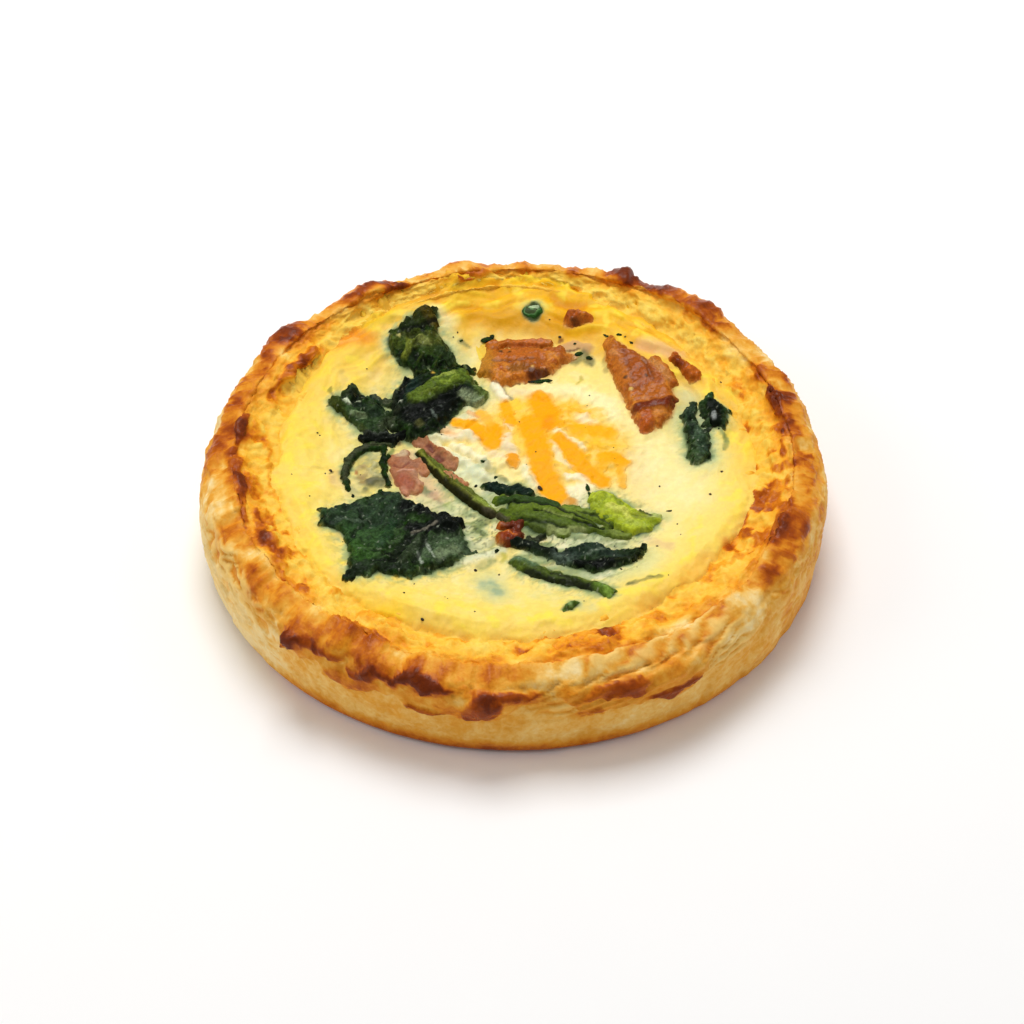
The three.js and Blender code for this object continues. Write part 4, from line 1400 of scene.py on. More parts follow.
STREAKS = (
    # cream and curd on the mound
    Mark("6,13 10,8 14,4", 9.5, "fcc638", 0.9, grain=0.3, soft=0.35),
    Mark("2,15 6,8 12,14", 5.0, "fcb81c", grain=0.8, soft=0.6),
    Mark("12,4 18,2", 3.4, "fcb81c", grain=0.8, soft=0.6),
    Mark("-2,13 -8,12.6", 4.4, "fcc848", 0.85, grain=0.4),
    Mark("-16,9.6 -12.6,9.2 -9.2,9.6 -7,8.4", 0.9, "fbf2cc", 0.9, 0.9),
    Mark("-15.6,8.2 -13,5 -9,2 -5.4,-2", 1.1, "f6ecbc", 0.9, 0.8, soft=0.6),
    Mark("-11.4,7 -7.4,4.2 -5,1", 1.0, "f8f0c4", 0.85, 0.7, soft=0.6),
    Mark("-13.4,11.4 -10,11 -8.4,9.8", 0.8, "fbeec0", 0.8, 0.7, soft=0.6),
    Mark("-8,14.6 -9.8,12.8 -12.6,12.4", 0.7, "f8ecc0", 0.8, 0.6, soft=0.6),
    # A darker line in the groove between cream ridges: painted shade.
    Mark("-13.6,7.6 -10,4.8 -6.6,1.6", 0.35, "d2c288", 0.55, -0.3),
    Mark("-12,2 -8,-1.6 -3.6,-5", 2.3, "d2dfbc", 0.7, 0.15, grain=0.2, soft=0.7),
    Mark("-3.6,24.4 -1.6,20.6", 1.0, "faf0cc", 0.95, 0.9),
    # A grey line in the groove beside the cream ridge: painted shade.
    Mark("-2.2,24.2 -0.4,20.2", 0.4, "86805e", 0.8, -0.3),
    Mark("-9.6,19.4 -8.6,16 -11,14", 1.0, "e8e6b8", 0.85, 0.55, soft=0.7),
    Mark("-8.2,18.8 -6,18.2", 0.5, "8c9068", 0.6, 0.2, grain=0.3),
    Mark("0,22.6 4,22 6,20.8", 1.2, "f2dca8", 0.7, 0.5, soft=0.8),
    Mark("6,23 12,22.6 17,20 19,16", 2.2, "fcf0b4", 0.75, 0.5, soft=0.9),
    Mark("-0.8,14 -1.6,6 0,4.4", 0.9, "fae4b8", 0.85, 0.3),
    Mark("8.6,9.2 12,6.4 13.6,4.6", 0.7, "fcecb8", 0.85, 0.2),
    Mark("7.8,6 9,1 11.4,0", 0.6, "fce8b4", 0.8, 0.2),
    Mark("13.6,14 15,12.4", 1.2, "fcecc0", 0.8, 0.2, soft=0.8),
    Mark("10.6,-3 14.6,-3.2", 0.8, "fcf0c8", 0.9, 0.3),
    Mark("11,-6.6 14,-5.4 12,-8.2", 1.4, "fcf0c4", 0.85, 0.25, soft=0.7),
    Mark("-4.6,4.4 -2.4,3.4", 0.9, "f8dcae", 0.7, 0.15),
    Mark("2.2,-1 4.4,-5.4", 0.9, "f8f0c0", 0.85, 0.3),
    Mark("23,3 24.6,-4", 2.2, "f4d8a4", 0.5, grain=0.4, soft=0.9),
    # green crumbs by the stems
    Mark("-5.4,1.4 -4.2,-0.6", 0.9, "5c7450", 0.8, 0.1, grain=0.5),
    Mark("-6.6,0.6", 1.0, "a8bc98", 0.6, soft=0.9),
    Mark("-2.6,-2.2 -1.6,-3.6", 0.8, "6c744c", 0.75, 0.1, grain=0.5),
    Mark("-4.8,-5.8 -3,-5.4", 1.2, "7c9884", 0.7, grain=0.4, soft=0.8),
    Mark("-4.4,-7.8 -2,-9", 1.4, "a8b884", 0.7, grain=0.3, soft=0.8),
    # between the arched leaf and the ham
    Mark("-27.4,5.4 -27.2,2 -27.8,-2", 2.7, "969458", 0.85, 0.2, grain=0.7),
    Mark("-28.8,4 -26.6,1 -28,-1.6", 1.8, "565c2c", 0.85, 0.15, grain=0.8),
    Mark("-26.4,4.6 -28.8,0.6 -26.6,-1.4", 1.4, "d8cc90", 0.8, 0.2, grain=0.9),
    Mark("-29,1.4 -28.6,-2", 1.2, "b08848", 0.7, grain=0.7),
    Mark("-30.2,0", 0.45, "b86c30", 0.85),
    Mark("-34,-1 -33.6,-3.4", 1.4, "d4a478", 0.6, grain=0.5, soft=0.8),
    Mark("-35,-1", 0.35, "4c4424", 0.7),
    Mark("-27,-2.4 -24.6,-2.2", 1.4, "4a4830", 0.9, 0.3, grain=0.2),
    Mark("-28.2,-4.8", 0.8, "44482a", 0.85, 0.1, grain=0.2),
    Mark("-31,-5 -29.4,-6.4", 1.0, "a8a878", 0.7, grain=0.5),
    Mark("-23.6,7 -23.8,4.6", 0.5, "6c7c30", 0.85),
    Mark("-22.2,8.8", 0.9, "4c2410", 0.85),
    Mark("-19.6,9.8 -18.8,8.8", 0.7, "d8b488", 0.8, 0.2),
    # round the ham and below the long stem
    Mark("-20.4,4 -17.4,-1 -16.4,-5 -14.6,-8", 2.6, "dcb48e", grain=0.15, soft=0.6),
    Mark("-20.8,-5.4 -20.2,-6.6", 0.9, "d08e72"),
    Mark("-17.6,-4.4 -16.2,-5.4", 0.8, "54683c", 0.85, 0.1, grain=0.2),
    Mark("-15.2,-6 -13.8,-9", 0.9, "b48068", 0.8, 0.1, grain=0.3),
    Mark("-14,-8.4 -13.4,-9.4", 0.6, "784a34", 0.85),
    Mark("-17,-7.4 -15,-9.6", 1.2, "d8d498", 0.7, 0.15),
    Mark("-11,-11 -8,-14.6 -8.4,-18.6", 3.4, "ccd29c", 0.85, grain=0.3, soft=0.6),
    Mark("-12.6,-8.8 -11.6,-10", 0.9, "a4b45a", 0.8, 0.1, grain=0.2),
    Mark("-13,-11 -13,-13.6", 0.45, "94a444", 0.85, 0.15),
    Mark("-9.4,-14.6 -7.4,-14.4 -6.2,-16", 0.35, "94a04c", 0.75, 0.1),
    Mark("-8.4,-19.4 -6,-20.4 -4.6,-19.4", 0.4, "8a9450", 0.7),
    Mark("-9.6,-17.8 -8.2,-20", 1.0, "dce0c4", 0.8, 0.3, soft=0.7),
    Mark("-11,-24.6 -6.4,-22.8 -2,-21.2", 0.9, "e8eac8", 0.8, 0.3, soft=0.8),
    Mark("-6,-25.4 -4,-24", 1.0, "74803c", 0.75, grain=0.4),
    Mark("-4.2,-19.8 -3.4,-18.4", 0.7, "84782a", 0.85),
    Mark("-1.8,-22.4 -1.8,-24", 0.55, "c0b43c", 0.85, 0.1),
    # leaves below the surface
    Mark("-4.6,-30 -3.2,-33.6", 3.0, "c4cc98", 0.75, 0.12, grain=0.2, soft=0.8),
    Mark("-4.8,-30.4 -3,-33", 1.5, "90a886", grain=0.4, soft=0.7),
    Mark("4,-33.6 7,-35", 1.6, "dcd88c", 0.5, grain=0.5),
    Mark("12.6,-37 13.6,-38.6", 1.6, "c8cc94", 0.6, grain=0.5),
    # by the bundle and the strip
    Mark("6,-17.6 10,-17.8 16,-18.2", 1.2, "bcc68c", 0.85, 0.1, grain=0.3),
    Mark("9,-20 14,-19.4 20,-20", 1.5, "e6e6bc", 0.8, 0.25, soft=0.8),
    Mark("7.4,-24.4 11,-25.4", 1.8, "6c7c68", 0.7, grain=0.4),
    Mark("10.8,-27.4", 0.8, "947450", 0.7),
    Mark("13.6,-28 15.8,-29.2 17.8,-28.4", 1.2, "ccd0b8", 0.85, 0.15, grain=0.2),
    Mark("20,-29 23.6,-28 25.6,-24", 2.6, "dcdc9c", 0.7, 0.1, soft=0.9),
    Mark("21.4,-32.6 24,-32 27,-30.6", 0.5, "686c3c", 0.9, 0.1, grain=0.3),
    Mark("24.6,-17.8 26,-19.6 29.4,-21.6", 1.0, "e4c088", 0.65, 0.1, grain=0.3),
    Mark("26,-12.8 29.4,-12.8", 1.1, "c8cc88", 0.7, soft=0.8),
    # round the right leaves
    Mark("33.6,15 36,8 37,2", 3.8, "ccd498", 0.75, grain=0.25, soft=0.8),
    Mark("36.8,14 37,9.6", 0.6, "d4dca8", 0.8, 0.1),
    Mark("37.2,9 37.6,3.6", 1.1, "7c9468", 0.8, 0.1, grain=0.45),
    Mark("34.4,3 37.4,2", 1.4, "9cb080", 0.6, grain=0.45),
    Mark("41.6,14.6 40.6,10 41.4,7 41,4.6", 0.5, "667c44", 0.85, 0.1, grain=0.3),
    Mark("33,21 34.8,19.6", 1.6, "d0d4a0", 0.6, grain=0.3, soft=0.8),
    # back left
    Mark("-13.6,39 -11.4,36 -9.6,33", 2.0, "d0d494", 0.6, grain=0.4, soft=0.8),
    Mark("-10.4,37.8 -9,37", 0.6, "647048", 0.75, grain=0.3),
    Mark("-35.6,35.4 -32,36.2 -29.6,35.6", 2.4, "e88a10", 0.8, 0.3, soft=0.8),
    Mark("-34,34.8 -31.6,35.6", 0.6, "fcb050", 0.8, 0.2),
    Mark("-35,39.4 -31.6,38.4", 1.2, "ec9a24", 0.7, 0.2, soft=0.9),
    Mark("-29,40 -25,41.4", 1.4, "dcb412", 0.7, -0.1, soft=0.8),
    Mark("-34,26.4 -33.4,24.6", 0.8, "c4b070", 0.5, grain=0.5),
    Mark("-36,21.4 -35.4,19.4", 0.5, "70702c", 0.75),
    # back, round the bacon
    Mark("-8,44 3,42 8,40.6", 2.6, "dc9a00", 0.9, soft=0.9),
    Mark("-13,42 -16,44.6", 1.6, "f8ecb0", 0.6, soft=0.9),
    Mark("9.6,37.6", 0.5, "7c4420"),
    Mark("10,35.4 13,36 15,35", 1.1, "c89868", 0.85, 0.3, grain=0.1),
    Mark("9.8,32 10.4,34.6 12.8,35.2", 0.35, "6c4424", 0.85),
    Mark("12,32.4 14,33.8 15.6,31.8", 1.0, "50583c", 0.85, 0.1, grain=0.2),
    Mark("26,34 30,32 33,31", 1.6, "e8b888", 0.6, 0.2, soft=0.8),
    Mark("18.2,31.8 18.6,29", 0.5, "8c7c50", 0.6, grain=0.4),
    Mark("13.6,28 13,25.4", 0.3, "b8a83c", 0.7),
    Mark("-3.4,27 -2,25.2", 1.1, "ccac78", 0.8, 0.15, grain=0.2),
    Mark("-2,27.6 0,25.4 1.2,24.6 -1,24.6", 0.32, "5c5c34", 0.85),
    # rich yellow and orange places
    Mark("-31,-38 -27,-40 -22,-40.4", 2.6, "fcce28", 0.9, soft=0.9),
    Mark("-39,-22 -37,-30", 2.2, YOLK, 0.6, soft=0.9),
    Mark("40.2,-21", 1.5, "dc8430", 0.7, grain=0.3),
    Mark("24,-38 30,-33 36,-26", 2.2, GOLD, 0.7, grain=0.4, soft=0.9),
    Mark("-41,12 -42.5,2", 2.4, YOLK, 0.5, grain=0.5, soft=0.9),
    Mark("28,4 34,-6", 5, "fcf0b0", 0.5, grain=0.4, soft=0.9),
)


@dataclass
class Custard:
    """The baked filling, which rises softly round everything that lies in it.

    It laps over the crust's inner slope.  lip_rows are how far outside its edge that slope is read, in
    millimetres, and skirts are the share and the drop of each step of its hidden body.
    """

    prints: Footprints
    crust: Crust
    cells: int = 310
    lap: float = 2.5 * MM
    mound_at: tuple[float, float] = (4 * MM, 9 * MM)
    mound_wide: float = 12 * MM
    skirts: Path = ((0.97, -1.5 * MM), (0.9, -4.0 * MM))
    lip_rows: tuple[float, ...] = (0.9, 1.4, 1.9, 2.4)
    noise: Noise = field(default_factory=lambda: Noise(23))

    def __post_init__(self) -> None:
        """Blurs the maps of what lies in the custard and reads the crust's inner lip."""
        self.near, self.far = [self.prints.joint(GREENS | MEATS, reach * MM) for reach in (0.9, 2.6)]
        greens = dict.fromkeys(GREENS, 1.0)
        self.green, self.halo, self.wide = [
            self.prints.joint(greens, reach * MM) for reach in (0.7, 1.7, 3.2)
        ]
        self.meat = self.prints.joint(dict.fromkeys(MEATS, 1.0), 0.8 * MM)
        self.theta = np.arange(self.crust.columns) * 360 / self.crust.columns
        edge = custard_edge(self.theta)
        rows = np.array([self.crust.bank_at(self.theta, edge + away * MM) for away in self.lip_rows])
        self.lip = self.rounded(rows.mean(axis=0))
        self.rise = self.rounded((rows[2] + rows[3] - rows[0] - rows[1]) / (2 * MM))

    def rounded(self, values: Array) -> Array:
        """Values round the edge without their short waves."""
        waves = np.fft.fftfreq(len(values), 1 / len(values))
        return np.real(np.fft.ifft(np.fft.fft(values) * np.exp(-((waves / 22) ** 2))))

    def melted(self, points: Array, melt: tuple[Mark, ...]) -> Array:
        """How fully melted cheddar covers each point."""
        flat, patches = self.swayed(points)
        return np.max([mark.amount * mark.cover(flat, patches) for mark in melt], axis=0)

    def swayed(self, points: Array) -> tuple[Array, Array]:
        """Places in plan with a soft waver, in millimetres, and the patches that go with them.

        Args:
            points: Places from the quiche's centre, one row each.

        Returns:
            The moved places and one patch value for each.
        """
        level = in_plan(points)
        patches = self.noise.layers(level, 2.0 * MM, 3)
        sway = np.stack([patches, self.noise.layers(level + 0.6, 2.0 * MM, 3)], axis=1)
        return level[:, :2] / MM + 0.5 * sway, self.noise.layers(level + 0.3, 1.6 * MM, 3)

    def ripples(self, points: Array) -> tuple[Array, Array]:
        """Puckered folds along the edge, of about -1 to 1, and how strongly they show.

        Args:
            points: Places from the quiche's centre, one row each.

        Returns:
            Both for each point.
        """
        theta = azimuth(points)
        radius = from_axis(points)
        away = radius - custard_edge(theta)
        sway = 2.6 * MM * self.noise.at(in_plan(points), 8 * MM)
        around = np.stack([np.radians(theta) * 45 * MM, radius + sway, 0 * radius], axis=1)
        folds = self.noise.at(around, (9 * MM, 2.8 * MM, 1.0))
        folds = folds + 0.5 * self.noise.at(around + 0.02, (4 * MM, 1.4 * MM, 1.0))
        shown = 0.3 + 0.7 * swell(theta, 84, 56) + 0.4 * swell(theta, 8, 24) + 0.25 * swell(theta, 180, 40)
        shown = smooth(-12 * MM, -5 * MM, away) * np.minimum(shown, 1)
        return folds, shown

    def veil(self, points: Array) -> tuple[Array, Array]:
        """Strands of green in the custard near the leaves, and how strongly they show.

        Args:
            points: Places from the quiche's centre, one row each.

        Returns:
            Both for each point, from 0 to 1.
        """
        level = in_plan(points)
        middle = np.exp(-(((points[:, 0] / MM - 4) / 20) ** 2) - ((points[:, 1] / MM + 17) / 11) ** 2)
        bent = level + 0.8 * MM * self.noise.layers(level + 1.2, 2.4 * MM, 2)[:, None]
        x, y = bent[:, 0], bent[:, 1]
        turned = np.stack([x + 0.5 * y, y - 0.5 * x, 0 * x], axis=1)
        strands = self.noise.ridges(turned + 1.6, (9.0 * MM, 2.6 * MM, 1.0))
        open_part = np.exp(-(((points[:, 0] / MM + 6) / 5) ** 2) - ((points[:, 1] / MM + 15.5) / 7) ** 2)
        near = smooth(0.06, 0.4, self.wide.read(points)) * (0.25 + 0.75 * middle)
        return strands, np.maximum(near, open_part)

    def reach(self, theta: Array) -> Array:
        """How far the custard laps over the crust's inner slope."""
        return self.lap + 0.2 * MM * swell(theta, 84, 50)

    def mound(self, points: Array) -> Array:
        """How much each point belongs to the curdled mound in the middle."""
        x, y = self.mound_at
        return np.exp(-((points[:, 0] - x) ** 2 + (points[:, 1] - y) ** 2) / (2 * self.mound_wide**2))

    def relief(self, points: Array, folds: Array, shown: Array) -> Array:
        """Curds, puckers, streaks and soft rises of the upper surface.

        Args:
            points: Places from the quiche's centre, one row each.
            folds: The puckered folds at the points.
            shown: How strongly the folds show.

        Returns:
            How far each point stands up, in millimetres.
        """
        noise = self.noise
        level = in_plan(points)
        warped = level + 0.8 * MM * noise.layers(level, 3 * MM, 2)[:, None] * (1, 1, 0)
        x, y = warped[:, 0], warped[:, 1]
        turned = np.stack([x - 0.8 * y, y + 0.8 * x, 0 * x], axis=1)
        curd = noise.ridges(turned, (2.6 * MM, 5.0 * MM, 1.0)) - 0.4 + 0.5 * noise.layers(level, 2.4 * MM, 2)
        curd = curd * (1 - 0.75 * np.minimum(1, self.melted(points, MELT_RIGHT + MELT_LEFT)))
        skin = noise.ridges(turned + 0.4, (3.0 * MM, 7.0 * MM, 1.0)) - 0.4
        out = 0.18 * noise.layers(level, 9 * MM, 3) + 0.85 * self.mound(points) * curd + 0.75 * shown * folds
        out = out + 0.1 * noise.layers(level, 2.6 * MM, 3) + 0.12 * skin
        strands, veil = self.veil(points)
        out = out + 0.6 * self.near.read(points) + 0.35 * self.far.read(points) + 0.2 * veil * (strands - 0.4)
        flat, patches = self.swayed(points)
        for mark in STREAKS + MELT_RIGHT + MELT_LEFT:
            if mark.high:
                out = out + mark.high * mark.cover(flat, patches)
        return out

    def height(self, points: Array) -> Array:
        """Height of the upper surface, which joins the crust's inner slope and laps a little over it.

        Args:
            points: Places from the quiche's centre, one row each.

        Returns:
            One height for each point.
        """
        level = in_plan(points)
        theta = azimuth(points)
        away = from_axis(points) - custard_edge(theta)
        folds, shown = self.ripples(points)
        out = self.relief(points, folds, shown)
        lip, rise = [np.interp(theta % 360, self.theta, row, period=360) for row in (self.lip, self.rise)]
        lip = lip + rise * np.clip(away - 1.65 * MM, -2.5 * MM, 2 * MM) + 0.25 * MM
        climb = smooth(-17 * MM, 2.0 * MM, away)
        level_there = custard_level(points)
        joined = (lip + level_there + np.hypot(lip - level_there, 0.9 * MM)) / 2
        surface = mix(level_there, joined, climb) + out * MM
        lap = self.reach(theta) * (1 + 1.0 * self.noise.layers(level, 12 * MM, 4))
        film = mix(0.22 * MM, -0.8 * MM, smooth(0.6, 1.5, away / lap)) + 0.35 * shown * folds * MM
        beyond = self.crust.bank_at(theta, from_axis(points)) + film
        wander = away - 1.6 * MM * smooth(-0.3, 0.5, self.noise.layers(level, 8 * MM, 3))
        return mix(surface, beyond, smooth(0.7 * MM, 2.2 * MM, wander))

    def build(self) -> bpy.types.Object:
        """Makes the custard and paints its tones.

        Returns:
            The finished mesh.
        """
        bpy.ops.mesh.primitive_grid_add(x_subdivisions=self.cells, y_subdivisions=self.cells, size=2)
        piece = named("egg_custard")
        x, y, _ = raw_corners(piece).T
        disc = np.stack([x * np.sqrt(1 - y**2 / 2), y * np.sqrt(1 - x**2 / 2), 0 * x], axis=1)
        theta = azimuth(disc)
        points = disc * (custard_edge(theta) + 1.9 * self.reach(theta))[:, None]
        points[:, 2] = self.height(points)
        place_corners(piece, points)
        self.skirt(piece)
        self.tones(corners_of(piece)).store(piece)
        return piece

    def skirt(self, piece: bpy.types.Object) -> None:
        """Closes the body under its upper surface, inside the pastry.

        Args:
            piece: The mesh.
        """
        edit(piece)
        bpy.ops.mesh.region_to_loop()
        for share, drop in self.skirts:
            bpy.ops.mesh.extrude_region_move(TRANSFORM_OT_translate={"value": (0, 0, drop)})
            bpy.ops.transform.resize(value=(share, share, 1), center_override=tuple(CENTRE))
        bpy.ops.mesh.edge_face_add()
        face_outwards()

    def tones(self, points: Array) -> Coat:
        """The custard's colours, from pale in the middle to gold at the crust, with all that tints it.

        Args:
            points: Places from the quiche's centre, one row each.

        Returns:
            The coat, not yet stored on a mesh.
        """
        level = in_plan(points)
        theta = azimuth(points)
        away = from_axis(points) - custard_edge(theta)
        cloud = self.noise.layers(level, 8 * MM, 4)
        flat, patches = self.swayed(points)
        back = swell(theta, 80, 55)
        coat = Coat(len(points))
        coat.lay(CREAM, np.ones(len(points)))
        coat.lay(CURD, 0.6 * smooth(-0.2, 0.6, cloud) * (1 - smooth(-22 * MM, -10 * MM, away)))
        coat.lay("fcdc70", 0.5 * smooth(0.0, 0.5, patches) * smooth(-30 * MM, -12 * MM, away))
        coat.lay(CURD, 0.5 * smooth(0.05, 0.5, self.noise.layers(level + 0.9, 3.4 * MM, 3)))
        coat.lay(CURD, 0.45 * swell(theta, -15, 45) * smooth(-32 * MM, -18 * MM, away))
        coat.lay(CURD, 0.85 * self.mound(points))
        coat.lay(YOLK, 0.6 * smooth(-13 * MM, 0.0, away + 3 * MM * cloud) + 0.12 * smooth(0.0, 0.7, -cloud))
        coat.lay("f6c044", 0.45 * smooth(-2.5 * MM, 3 * MM, away + 3 * MM * cloud))
        coat.lay("eeb004", 0.97 * smooth(-13 * MM, -5 * MM, away + 4 * MM * cloud) * back)
        bright = smooth(-8 * MM, -3 * MM, away) * (1 - smooth(0.0, 2 * MM, away))
        coat.lay("fce24c", 0.7 * bright * smooth(0.1, 0.5, self.noise.layers(level + 0.5, 4 * MM, 3)))
        folds, shown = self.ripples(points)
        # Deeper orange in the folds' valleys is painted shade, and paler yellow on their crests is painted
        # light.
        coat.lay("d88c08", 0.85 * shown * smooth(0.0, 0.6, -folds) * back)
        coat.lay("fedc40", 0.9 * shown * smooth(0.1, 0.7, folds))
        coat.lay(SAGE, 0.85 * smooth(0.05, 0.4, self.halo.read(points)) * smooth(-0.8, 0.5, patches))
        coat.stroke(STREAKS, flat, patches)
        strands, veil = self.veil(points)
        coat.lay("b4c08a", 0.8 * veil * smooth(-0.6, 0.1, patches))
        coat.lay("f4ecc0", 0.5 * veil * (1 - smooth(0.15, 0.4, strands)))
        coat.lay("64763c", 0.8 * veil * smooth(0.58, 0.8, strands))
        coat.lay("3c4a28", 0.75 * veil * smooth(0.2, 0.36, self.noise.layers(level + 2.1, 0.7 * MM, 2)))
        coat.lay("98a874", 0.6 * smooth(0.22, 0.5, self.halo.read(points) + 0.2 * patches))
        near = self.green.read(points) + 0.16 * patches
        coat.lay(TEAL, 0.7 * smooth(0.2, 0.5, near))
        coat.lay(LEAF, 0.9 * smooth(0.4, 0.62, near))
        coat.lay(BLUSH, 0.7 * smooth(0.3, 0.6, self.meat.read(points) + 0.1 * patches))
        coat.stroke(MELT_RIGHT + MELT_LEFT, flat, patches)
        return coat


# ---------------------------------------------------------------- pieces in the custard
@dataclass
class Piece:
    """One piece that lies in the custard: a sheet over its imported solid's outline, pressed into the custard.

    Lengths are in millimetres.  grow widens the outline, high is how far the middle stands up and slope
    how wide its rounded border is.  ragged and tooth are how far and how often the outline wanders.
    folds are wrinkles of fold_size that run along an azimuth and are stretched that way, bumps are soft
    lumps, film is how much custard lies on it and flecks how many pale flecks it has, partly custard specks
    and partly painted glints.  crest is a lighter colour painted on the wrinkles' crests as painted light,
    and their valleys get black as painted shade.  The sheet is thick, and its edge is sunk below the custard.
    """

    node: str
    marks: tuple[Mark, ...] = ()
    grow: tuple[Mark, ...] = ()
    high: float = 0.7
    slope: float = 0.8
    ragged: float = 0.5
    tooth: float = 2.0
    folds: float = 0.3
    fold_size: float = 2.4
    bumps: float = 0.2
    film: float = 0.0
    flecks: float = 0.0
    rim: str = TEAL
    crest: str = ""
    along: float = 0.0
    stretch: float = 1.6
    seed: int = 1
    cell: float = 0.2
    squash: float = 1.0
    name: str = ""
    thick: float = 0.6
    sunk: float = 0.35

    def outline(self, points: Array, custard: Custard, blur: float) -> Array:
        """How far inside the outline each point lies, 0.5 on the outline and 1 well inside.

        Args:
            points: Places in plan, one row each.
            custard: The custard, which holds the solid's footprint.
            blur: Width of the soft border in millimetres.

        Returns:
            One value for each point.
        """
        noise = Noise(self.seed)
        level = in_plan(points)
        sway = [noise.layers(level + shift, self.tooth * MM, 3) for shift in (0.0, 0.5)]
        moved = level + self.ragged * MM * np.stack(sway + [0 * level[:, 0]], axis=1)
        middle = (np.mean([np.array(corner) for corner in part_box(self.node)], axis=0) - CENTRE)[1]
        moved[:, 1] = middle + (moved[:, 1] - middle) / self.squash
        inside = custard.prints.own[self.node].blurred(blur * MM).read(moved)
        flat = moved[:, :2] / MM
        for mark in self.grow:
            inside = np.maximum(inside, mark.cover(flat, inside) * mark.amount)
        return inside

    def sheet(self) -> tuple[bpy.types.Object, Array]:
        """A flat grid over the solid and what grows beyond it.

        Returns:
            The grid and its vertices' places in plan.
        """
        low, high = [np.array(corner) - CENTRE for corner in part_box(self.node)]
        for mark in self.grow:
            low = np.minimum(low, np.append(mark.path().min(axis=0) - mark.wide, 0) * MM)
            high = np.maximum(high, np.append(mark.path().max(axis=0) + mark.wide, 0) * MM)
        low, size = low - 1.5 * MM, high - low + 3 * MM
        cells = [int(size[i] / (self.cell * MM)) for i in (0, 1)]
        bpy.ops.mesh.primitive_grid_add(x_subdivisions=cells[0], y_subdivisions=cells[1], size=2)
        piece = named(self.name or f"food_{self.node}")
        return piece, in_plan(low + size * (raw_corners(piece) + 1) / 2)

    def wrinkled(self, level: Array, noise: Noise) -> tuple[Array, Array]:
        """Wrinkles that run along the piece, and finer creases beside them.

        Args:
            level: Places in plan, one row each.
            noise: The piece's own noise.

        Returns:
            Both at each place, from -0.4 in their valleys to 0.6 on their crests.
        """
        bent = level + 0.7 * MM * noise.layers(level, 3 * MM, 2)[:, None] * (1, 1, 0)
        turn = math.radians(self.along)
        ahead = bent[:, :2] @ (math.cos(turn), math.sin(turn))
        aside = bent[:, :2] @ (-math.sin(turn), math.cos(turn))
        turned = np.stack([ahead, aside, 0 * ahead], axis=1)
        wrinkles = noise.ridges(turned, (self.stretch * self.fold_size * MM, self.fold_size * MM, 1.0))
        creases = noise.ridges(turned + 0.7, (0.7 * self.stretch * MM, 1.0 * MM, 1.0))
        return wrinkles - 0.4, creases - 0.4

    def build(self, custard: Custard) -> bpy.types.Object:
        """Shapes and paints the sheet.

        Args:
            custard: The custard that it lies in.

        Returns:
            The finished mesh.
        """
        noise = Noise(self.seed)
        piece, level = self.sheet()
        outline = self.outline(level, custard, 0.3)
        body = self.outline(level, custard, self.slope)
        inside = smooth(0.4, 0.97, body)
        patches = noise.layers(level + 1.0, 1.6 * MM, 3)
        flat = level[:, :2] / MM + 0.3 * np.stack([patches, noise.layers(level + 1.5, 1.8 * MM, 3)], axis=1)
        wrinkles, creases = self.wrinkled(level, noise)
        lift = self.high * inside + self.bumps * noise.layers(level, 1.6 * MM, 3)
        lift = lift + self.folds * (wrinkles + 0.35 * creases)
        coat = custard.tones(level)
        coat.fade(1 - smooth(0.36, 0.62, body + 0.12 * patches))
        rim = (0.5 * (1 - smooth(0.5, 0.8, body)) + self.film) * smooth(0.36, 0.62, body)
        coat.lay(self.rim, rim * smooth(-0.5, 0.6, patches))
        # The crest colour on the wrinkles' crests is painted light, and black in their valleys and creases is
        # painted shade.
        if self.crest:
            crest = 0.8 * smooth(0.05, 0.5, wrinkles) * smooth(-0.4, 0.5, patches)
            coat.lay(self.crest, crest * smooth(0.4, 0.62, body))
        dark = 0.6 * smooth(0.0, 0.4, -wrinkles) + 0.4 * smooth(0.1, 0.4, -creases)
        coat.lay(BLACK, smooth(0.42, 0.62, body) * self.folds * dark)
        for mark in self.marks:
            cover = mark.cover(flat, patches)
            lift = lift + mark.high * cover
            if mark.shade:
                coat.lay(mark.shade, mark.amount * cover)
        # Pale flecks: partly custard specks, partly painted glints.
        coat.lay("d0d8bc", self.flecks * smooth(0.55, 0.8, noise.layers(level + 2.0, 0.8 * MM, 2)))
        points = level.copy()
        lift = smooth(0.4, 0.75, body) * smooth(0.35, 0.6, outline) * lift
        raised = 0.44 * smooth(0.3, 0.6, outline) + lift - self.sunk
        points[:, 2] = custard.height(level) + raised * MM
        place_corners(piece, points)
        coat.store(piece)
        drop_corners(piece, outline < 0.12)
        apply(piece, "SOLIDIFY", thickness=self.thick * MM, offset=-1)
        return piece


@dataclass
class Melt(Piece):
    """Melted cheddar, a thin sheet just over the custard and toned like it at its border."""

    thick: float = 0.5

    def build(self, custard: Custard) -> bpy.types.Object:
        """Makes the sheet over its area and keeps what is melted.

        Args:
            custard: The custard that it lies on.

        Returns:
            The finished mesh.
        """
        piece, level = self.sheet()
        whole = custard.melted(level, self.grow)
        points = level.copy()
        points[:, 2] = custard.height(level) + mix(-0.2, 0.1, smooth(0.05, 0.35, whole)) * MM
        place_corners(piece, points)
        custard.tones(level).store(piece)
        drop_corners(piece, whole < 0.04)
        apply(piece, "SOLIDIFY", thickness=self.thick * MM, offset=-1)
        return piece


